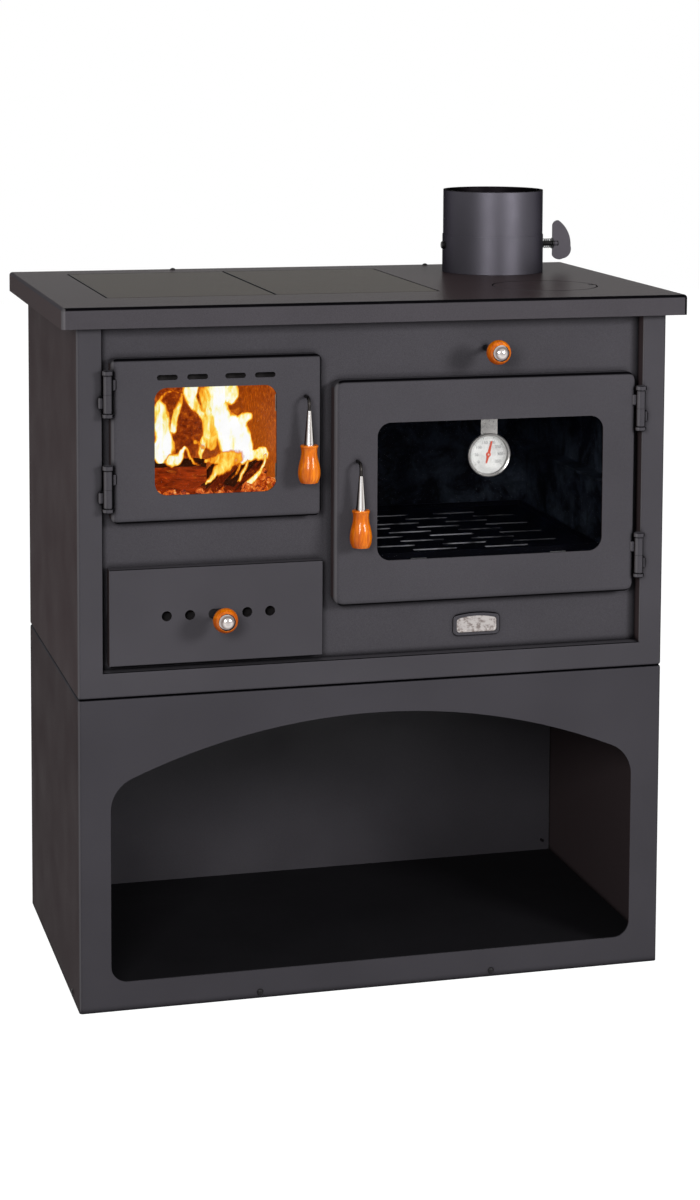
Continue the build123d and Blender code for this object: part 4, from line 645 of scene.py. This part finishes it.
# ---- logs ----
LOG_RINGS = 22
POINTS_PER_SIDE = 8
LOG_ROUGHNESS = 0.7               # mm
LOG_END, END_PINCH = 0.15, 0.12   # the share of half a log where it gets thinner, and by how much


def log_material(name, red):
    """Charred wood with glowing cracks along its grain."""
    g = Graph(name)
    grain = g.noise(g.place((0.18, 1, 1)), scale=240, detail=5, rough=0.7, distortion=0.4)
    shade = g.ramp(grain, [(0.3, (0.01, 0.003, 0.002)), (0.6, (0.04, 0.01, 0.003)),
                           (0.8, (0.09, 0.02, 0.005))])
    cracks = g.noise(g.place((0.4, 1, 1)), scale=120, detail=4, rough=0.6, distortion=1.2)
    glow = g.ramp(cracks, [(0.38, (0.3 * red, 0.026 * red, 0.002)), (0.62, (0.42 * red, 0.04 * red, 0.003)),
                           (0.7, (0.8, 0.16, 0.01)), (0.78, (1.0, 0.55, 0.1))])
    glow = g.mix(g.spread(g.normal("Z"), 0.25, 0.7), glow, (0.012, 0.003, 0.001))
    g.glow(g.mix(1.0, glow, g.ramp(grain, [(0.3, grey(0.2)), (0.62, grey(1))]), "MULTIPLY"), 0.9)
    g.set(Base_Color=shade, Roughness=0.9, Specular_IOR_Level=0.02, Normal=g.bump(grain, 0.8, 0.002))
    return g.material


def log(name, seed, start, end, outline, material):
    """A split log between two places, with a rough outline of (across, up) in mm."""
    source = random.Random(seed)
    way = (end - start).normalized()
    across = way.cross(Vector((0, 0, 1))).normalized()
    up = across.cross(way)
    count = len(outline) * POINTS_PER_SIDE
    outline = [Vector(p) for p in outline]
    points, faces = [], []
    ridges, waves, _ = ([source.uniform(-1, 1) for _ in range(count)] for _ in range(3))
    # The third list is drawn and not used, so that the draws after it stay as they are.
    for i in range(LOG_RINGS):
        t = i / (LOG_RINGS - 1)
        end_size = 1 - END_PINCH * max(0.0, abs(2 * t - 1) - (1 - LOG_END)) / LOG_END
        middle = start.lerp(end, t)
        for k in range(count):
            side, step = divmod(k, POINTS_PER_SIDE)
            p = outline[side].lerp(outline[(side + 1) % len(outline)], step / POINTS_PER_SIDE)
            rough = ridges[k] + waves[k] * math.sin(7 * t + k) + source.uniform(-0.6, 0.6)
            p = p * end_size * (1 + LOG_ROUGHNESS * rough / max(p.length, 6))
            points.append(middle + (across * p[0] + up * p[1]) / 1000)
    for i in range(LOG_RINGS - 1):
        for k in range(count):
            n = (k + 1) % count
            faces.append((i * count + k, i * count + n, (i + 1) * count + n, (i + 1) * count + k))
    faces.append(tuple(reversed(range(count))))
    faces.append(tuple(range((LOG_RINGS - 1) * count, LOG_RINGS * count)))
    mesh = bpy.data.meshes.new(name)
    mesh.from_pydata(points, [], faces)
    work = bmesh.new()
    work.from_mesh(mesh)
    bmesh.ops.recalc_face_normals(work, faces=work.faces)
    work.to_mesh(mesh)
    work.free()
    add_piece(name, mesh, material, "stove")


burning = log_material("burning_log", 1.0)
charred = log_material("charred_log", 0.5)
log("log_left", 3, behind(-302, 640, 118), behind(-214, 640, 100),
    [(-17, -19), (19, -17), (23, 20), (-14, 25)], burning)
log("log_diagonal", 5, behind(-222, 625, 86), behind(-186, 662, 128),
    [(-12, -10), (10, -12), (13, 7), (-3, 14)], charred)
log("log_right", 8, behind(-186, 624, 84), behind(-150, 660, 126),
    [(-11, -11), (11, -9), (10, 9), (-8, 11)], charred)


# ---- embers ----
EMBERS = 260
BED_LEFT, BED_RIGHT, BED_FRONT, BED_BACK = -286, -112, 66, 160    # mm, in X and behind the door's face
BED_BOTTOM, BED_HEIGHT = 0.597, 14        # on the grate, in m, and how thick the bed is, in mm
HEAP_X, HEAP_REACH, HEAP_HEIGHT = -122, 34, 24                    # mm


def ember_material():
    """Crusted embers that glow in their cracks."""
    g = Graph("embers")
    hot = g.noise(g.place(), scale=120, detail=6, rough=0.75, distortion=0.6)
    g.glow(g.ramp(hot, [(0.38, (0.02, 0.002, 0.0005)), (0.47, (0.42, 0.035, 0.003)),
                        (0.56, (0.95, 0.2, 0.012)), (0.66, (1.0, 0.62, 0.22))]), 0.9)
    g.set(Base_Color=(0.05, 0.025, 0.02), Roughness=0.95, Specular_IOR_Level=0.02,
          Normal=g.bump(hot, 0.8, 0.002))
    return g.material


def embers():
    """A bed of small lumps on the grate, heaped at its right end."""
    source = random.Random(12)
    work = bmesh.new()
    for _ in range(EMBERS):
        x, depth = source.uniform(BED_LEFT, BED_RIGHT), source.uniform(BED_FRONT, BED_BACK)
        size = source.uniform(3, 8)
        heap = BED_HEIGHT + HEAP_HEIGHT * max(0.0, 1 - abs(x - HEAP_X) / HEAP_REACH)
        place = Vector((x / 1000, DOOR_FACE + depth / 1000, BED_BOTTOM + source.uniform(0, heap) / 1000))
        angle = source.uniform(0, 3)
        axis = Vector((source.random(), source.random(), 1)).normalized()
        turned = Matrix.Translation(place) @ Matrix.Rotation(angle, 4, axis)
        lump = bmesh.ops.create_icosphere(work, subdivisions=2, radius=size / 1000, matrix=turned)
        for vert in lump["verts"]:
            vert.co = place + (vert.co - place) * source.uniform(0.72, 1.1)
    add_piece("embers", built_mesh("embers", work), ember_material(), "stove")


embers()


# ---- thermometer print ----
MARKS, MARKS_PER_NUMBER, DEGREES_PER_MARK, FIRST_MARK = 36, 5, 7.2, -126
LONG_MARK, SHORT_MARK = (0.0005, 0.0028), (0.0003, 0.0016)        # width and length
MARK_RADIUS, NUMBER_RADIUS, NUMBER_SIZE, NUMBER_STEP = 0.0192, 0.0152, 0.0052, 50
PRINT_LIFT = 0.00018


def direction(degrees):
    """A direction on the dial, clockwise from the top."""
    return Vector((math.sin(math.radians(degrees)), 0, math.cos(math.radians(degrees))))


def add_mark(work, center, degrees, width, length):
    """A thin bar that points out from the dial's centre."""
    out, side = direction(degrees), direction(degrees + 90) * width / 2
    foot = center + out * MARK_RADIUS
    tip = foot + out * length
    work.faces.new([work.verts.new(corner) for corner in (foot - side, foot + side, tip + side, tip - side)])


def add_number(work, center, degrees, text):
    """Upright numerals as flat faces."""
    curve = bpy.data.curves.new("number", "FONT")
    curve.body = text
    curve.size = NUMBER_SIZE
    curve.align_x, curve.align_y = "CENTER", "CENTER"
    curve.resolution_u = 3
    thing = bpy.data.objects.new("number", curve)
    flat = bpy.data.meshes.new_from_object(thing)
    upright = Matrix.Rotation(math.radians(90), 4, "X")
    flat.transform(Matrix.Translation(center + direction(degrees) * NUMBER_RADIUS) @ upright)
    work.from_mesh(flat)
    bpy.data.objects.remove(thing)
    bpy.data.curves.remove(curve)
    bpy.data.meshes.remove(flat)


def dial_print():
    """Grey numerals and scale marks, a hair above the dial."""
    low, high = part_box("thermometer_dial")
    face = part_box("thermometer_pointer")[1][1] + PRINT_LIFT
    center = Vector(((low[0] + high[0]) / 2, face, (low[2] + high[2]) / 2))
    work = bmesh.new()
    for i in range(MARKS):
        size = SHORT_MARK if i % MARKS_PER_NUMBER else LONG_MARK
        add_mark(work, center, FIRST_MARK + DEGREES_PER_MARK * i, *size)
    for i in range(MARKS // MARKS_PER_NUMBER + 1):
        degrees = FIRST_MARK + DEGREES_PER_MARK * MARKS_PER_NUMBER * i
        add_number(work, center, degrees, str(NUMBER_STEP * i))
    ink = paint("dial_grey", (0.16, 0.16, 0.17), 0.6, grain=0.02, cloud=0.1)
    thing = add_piece("dial_print", built_mesh("dial_print", work), ink, "oven_door")


dial_print()


# ---- floor, world and lamps ----
def floor(reach=8):
    """A wide floor that looks white and keeps the stove's shadow."""
    mesh = bpy.data.meshes.new("floor")
    mesh.from_pydata([(-reach, -reach, 0), (reach, -reach, 0), (reach, reach, 0), (-reach, reach, 0)],
                     [], [(0, 1, 2, 3)])
    thing = bpy.data.objects.new("floor", mesh)
    scene.collection.objects.link(thing)
    g = Graph("floor")
    g.set(Base_Color=grey(0.3), Roughness=1.0)
    white = g.add("ShaderNodeEmission", {"Color": grey(1), "Strength": 0.9})
    dark = g.add("ShaderNodeEmission", {"Color": grey(0)})
    seen = g.add("ShaderNodeMixShader", {0: seen_directly(g.tree), 1: dark.outputs[0], 2: white.outputs[0]})
    both = g.add("ShaderNodeAddShader", {0: g.shader.outputs[0], 1: seen.outputs[0]})
    g.link(both.outputs[0], g.output.inputs["Surface"])
    mesh.materials.append(g.material)


def white_world():
    """A world that looks white and lights the stove more weakly."""
    world = bpy.data.worlds.new("world")
    scene.world = world
    world.use_nodes = True
    tree = world.node_tree
    background = tree.nodes["Background"]
    background.inputs["Color"].default_value = (1, 1, 1, 1)
    strength = tree.nodes.new("ShaderNodeMapRange")
    strength.inputs["To Min"].default_value = 0.34
    strength.inputs["To Max"].default_value = 1.0
    tree.links.new(seen_directly(tree), strength.inputs["Value"])
    tree.links.new(strength.outputs["Result"], background.inputs["Strength"])


def lamp(name, place, aim_height, size, power):
    """A square lamp that is aimed at the stove's axis."""
    data = bpy.data.lights.new(name, "AREA")
    data.shape = "RECTANGLE"
    data.size = data.size_y = size
    data.energy = power
    thing = bpy.data.objects.new(name, data)
    scene.collection.objects.link(thing)
    thing.location = place
    way = Vector((0, 0, aim_height)) - Vector(place)
    thing.rotation_euler = way.to_track_quat("-Z", "Y").to_euler()


floor()
white_world()
lamp("key", (1.4, -2.3, 1.35), 0.7, 0.6, 40)
lamp("fill", (-1.2, -2.6, 1.4), 0.7, 0.7, 42)
lamp("top", (0.3, 0.4, 3.0), 0.8, 2.0, 4)

# ---- camera ----
WIDTH, HEIGHT = 700, 1200         # the picture's pixels
YAW, PITCH, ROLL = 0.2715, 0.0966, 0.0062
FOCUS, CENTER_X, CENTER_Y = 2630.85, 394.35, 287.29       # focal length and line of sight, in pixels
CAMERA_X, CAMERA_DISTANCE, CAMERA_Z = -0.82634, 3.02913, 1.16926
SENSOR = 36.0


def add_camera():
    """The camera that took the picture, with its view shifted off its line of sight."""
    forward = Vector((math.sin(YAW) * math.cos(PITCH), math.cos(YAW) * math.cos(PITCH), -math.sin(PITCH)))
    right = Vector((math.cos(YAW), -math.sin(YAW), 0))
    up = right.cross(forward)
    rolled_right = math.cos(ROLL) * right + math.sin(ROLL) * up
    rolled_up = -math.sin(ROLL) * right + math.cos(ROLL) * up
    data = bpy.data.cameras.new("camera")
    data.sensor_width = SENSOR
    data.lens = FOCUS / HEIGHT * SENSOR
    data.shift_x = (WIDTH / 2 - CENTER_X) / HEIGHT
    data.shift_y = (CENTER_Y - HEIGHT / 2) / HEIGHT
    camera = bpy.data.objects.new("camera", data)
    scene.collection.objects.link(camera)
    basis = Matrix((rolled_right, rolled_up, -forward)).transposed().to_4x4()
    place = (CAMERA_X, FRONT - CAMERA_DISTANCE, CAMERA_Z)
    camera.matrix_world = Matrix.Translation(place) @ basis
    scene.camera = camera


add_camera()
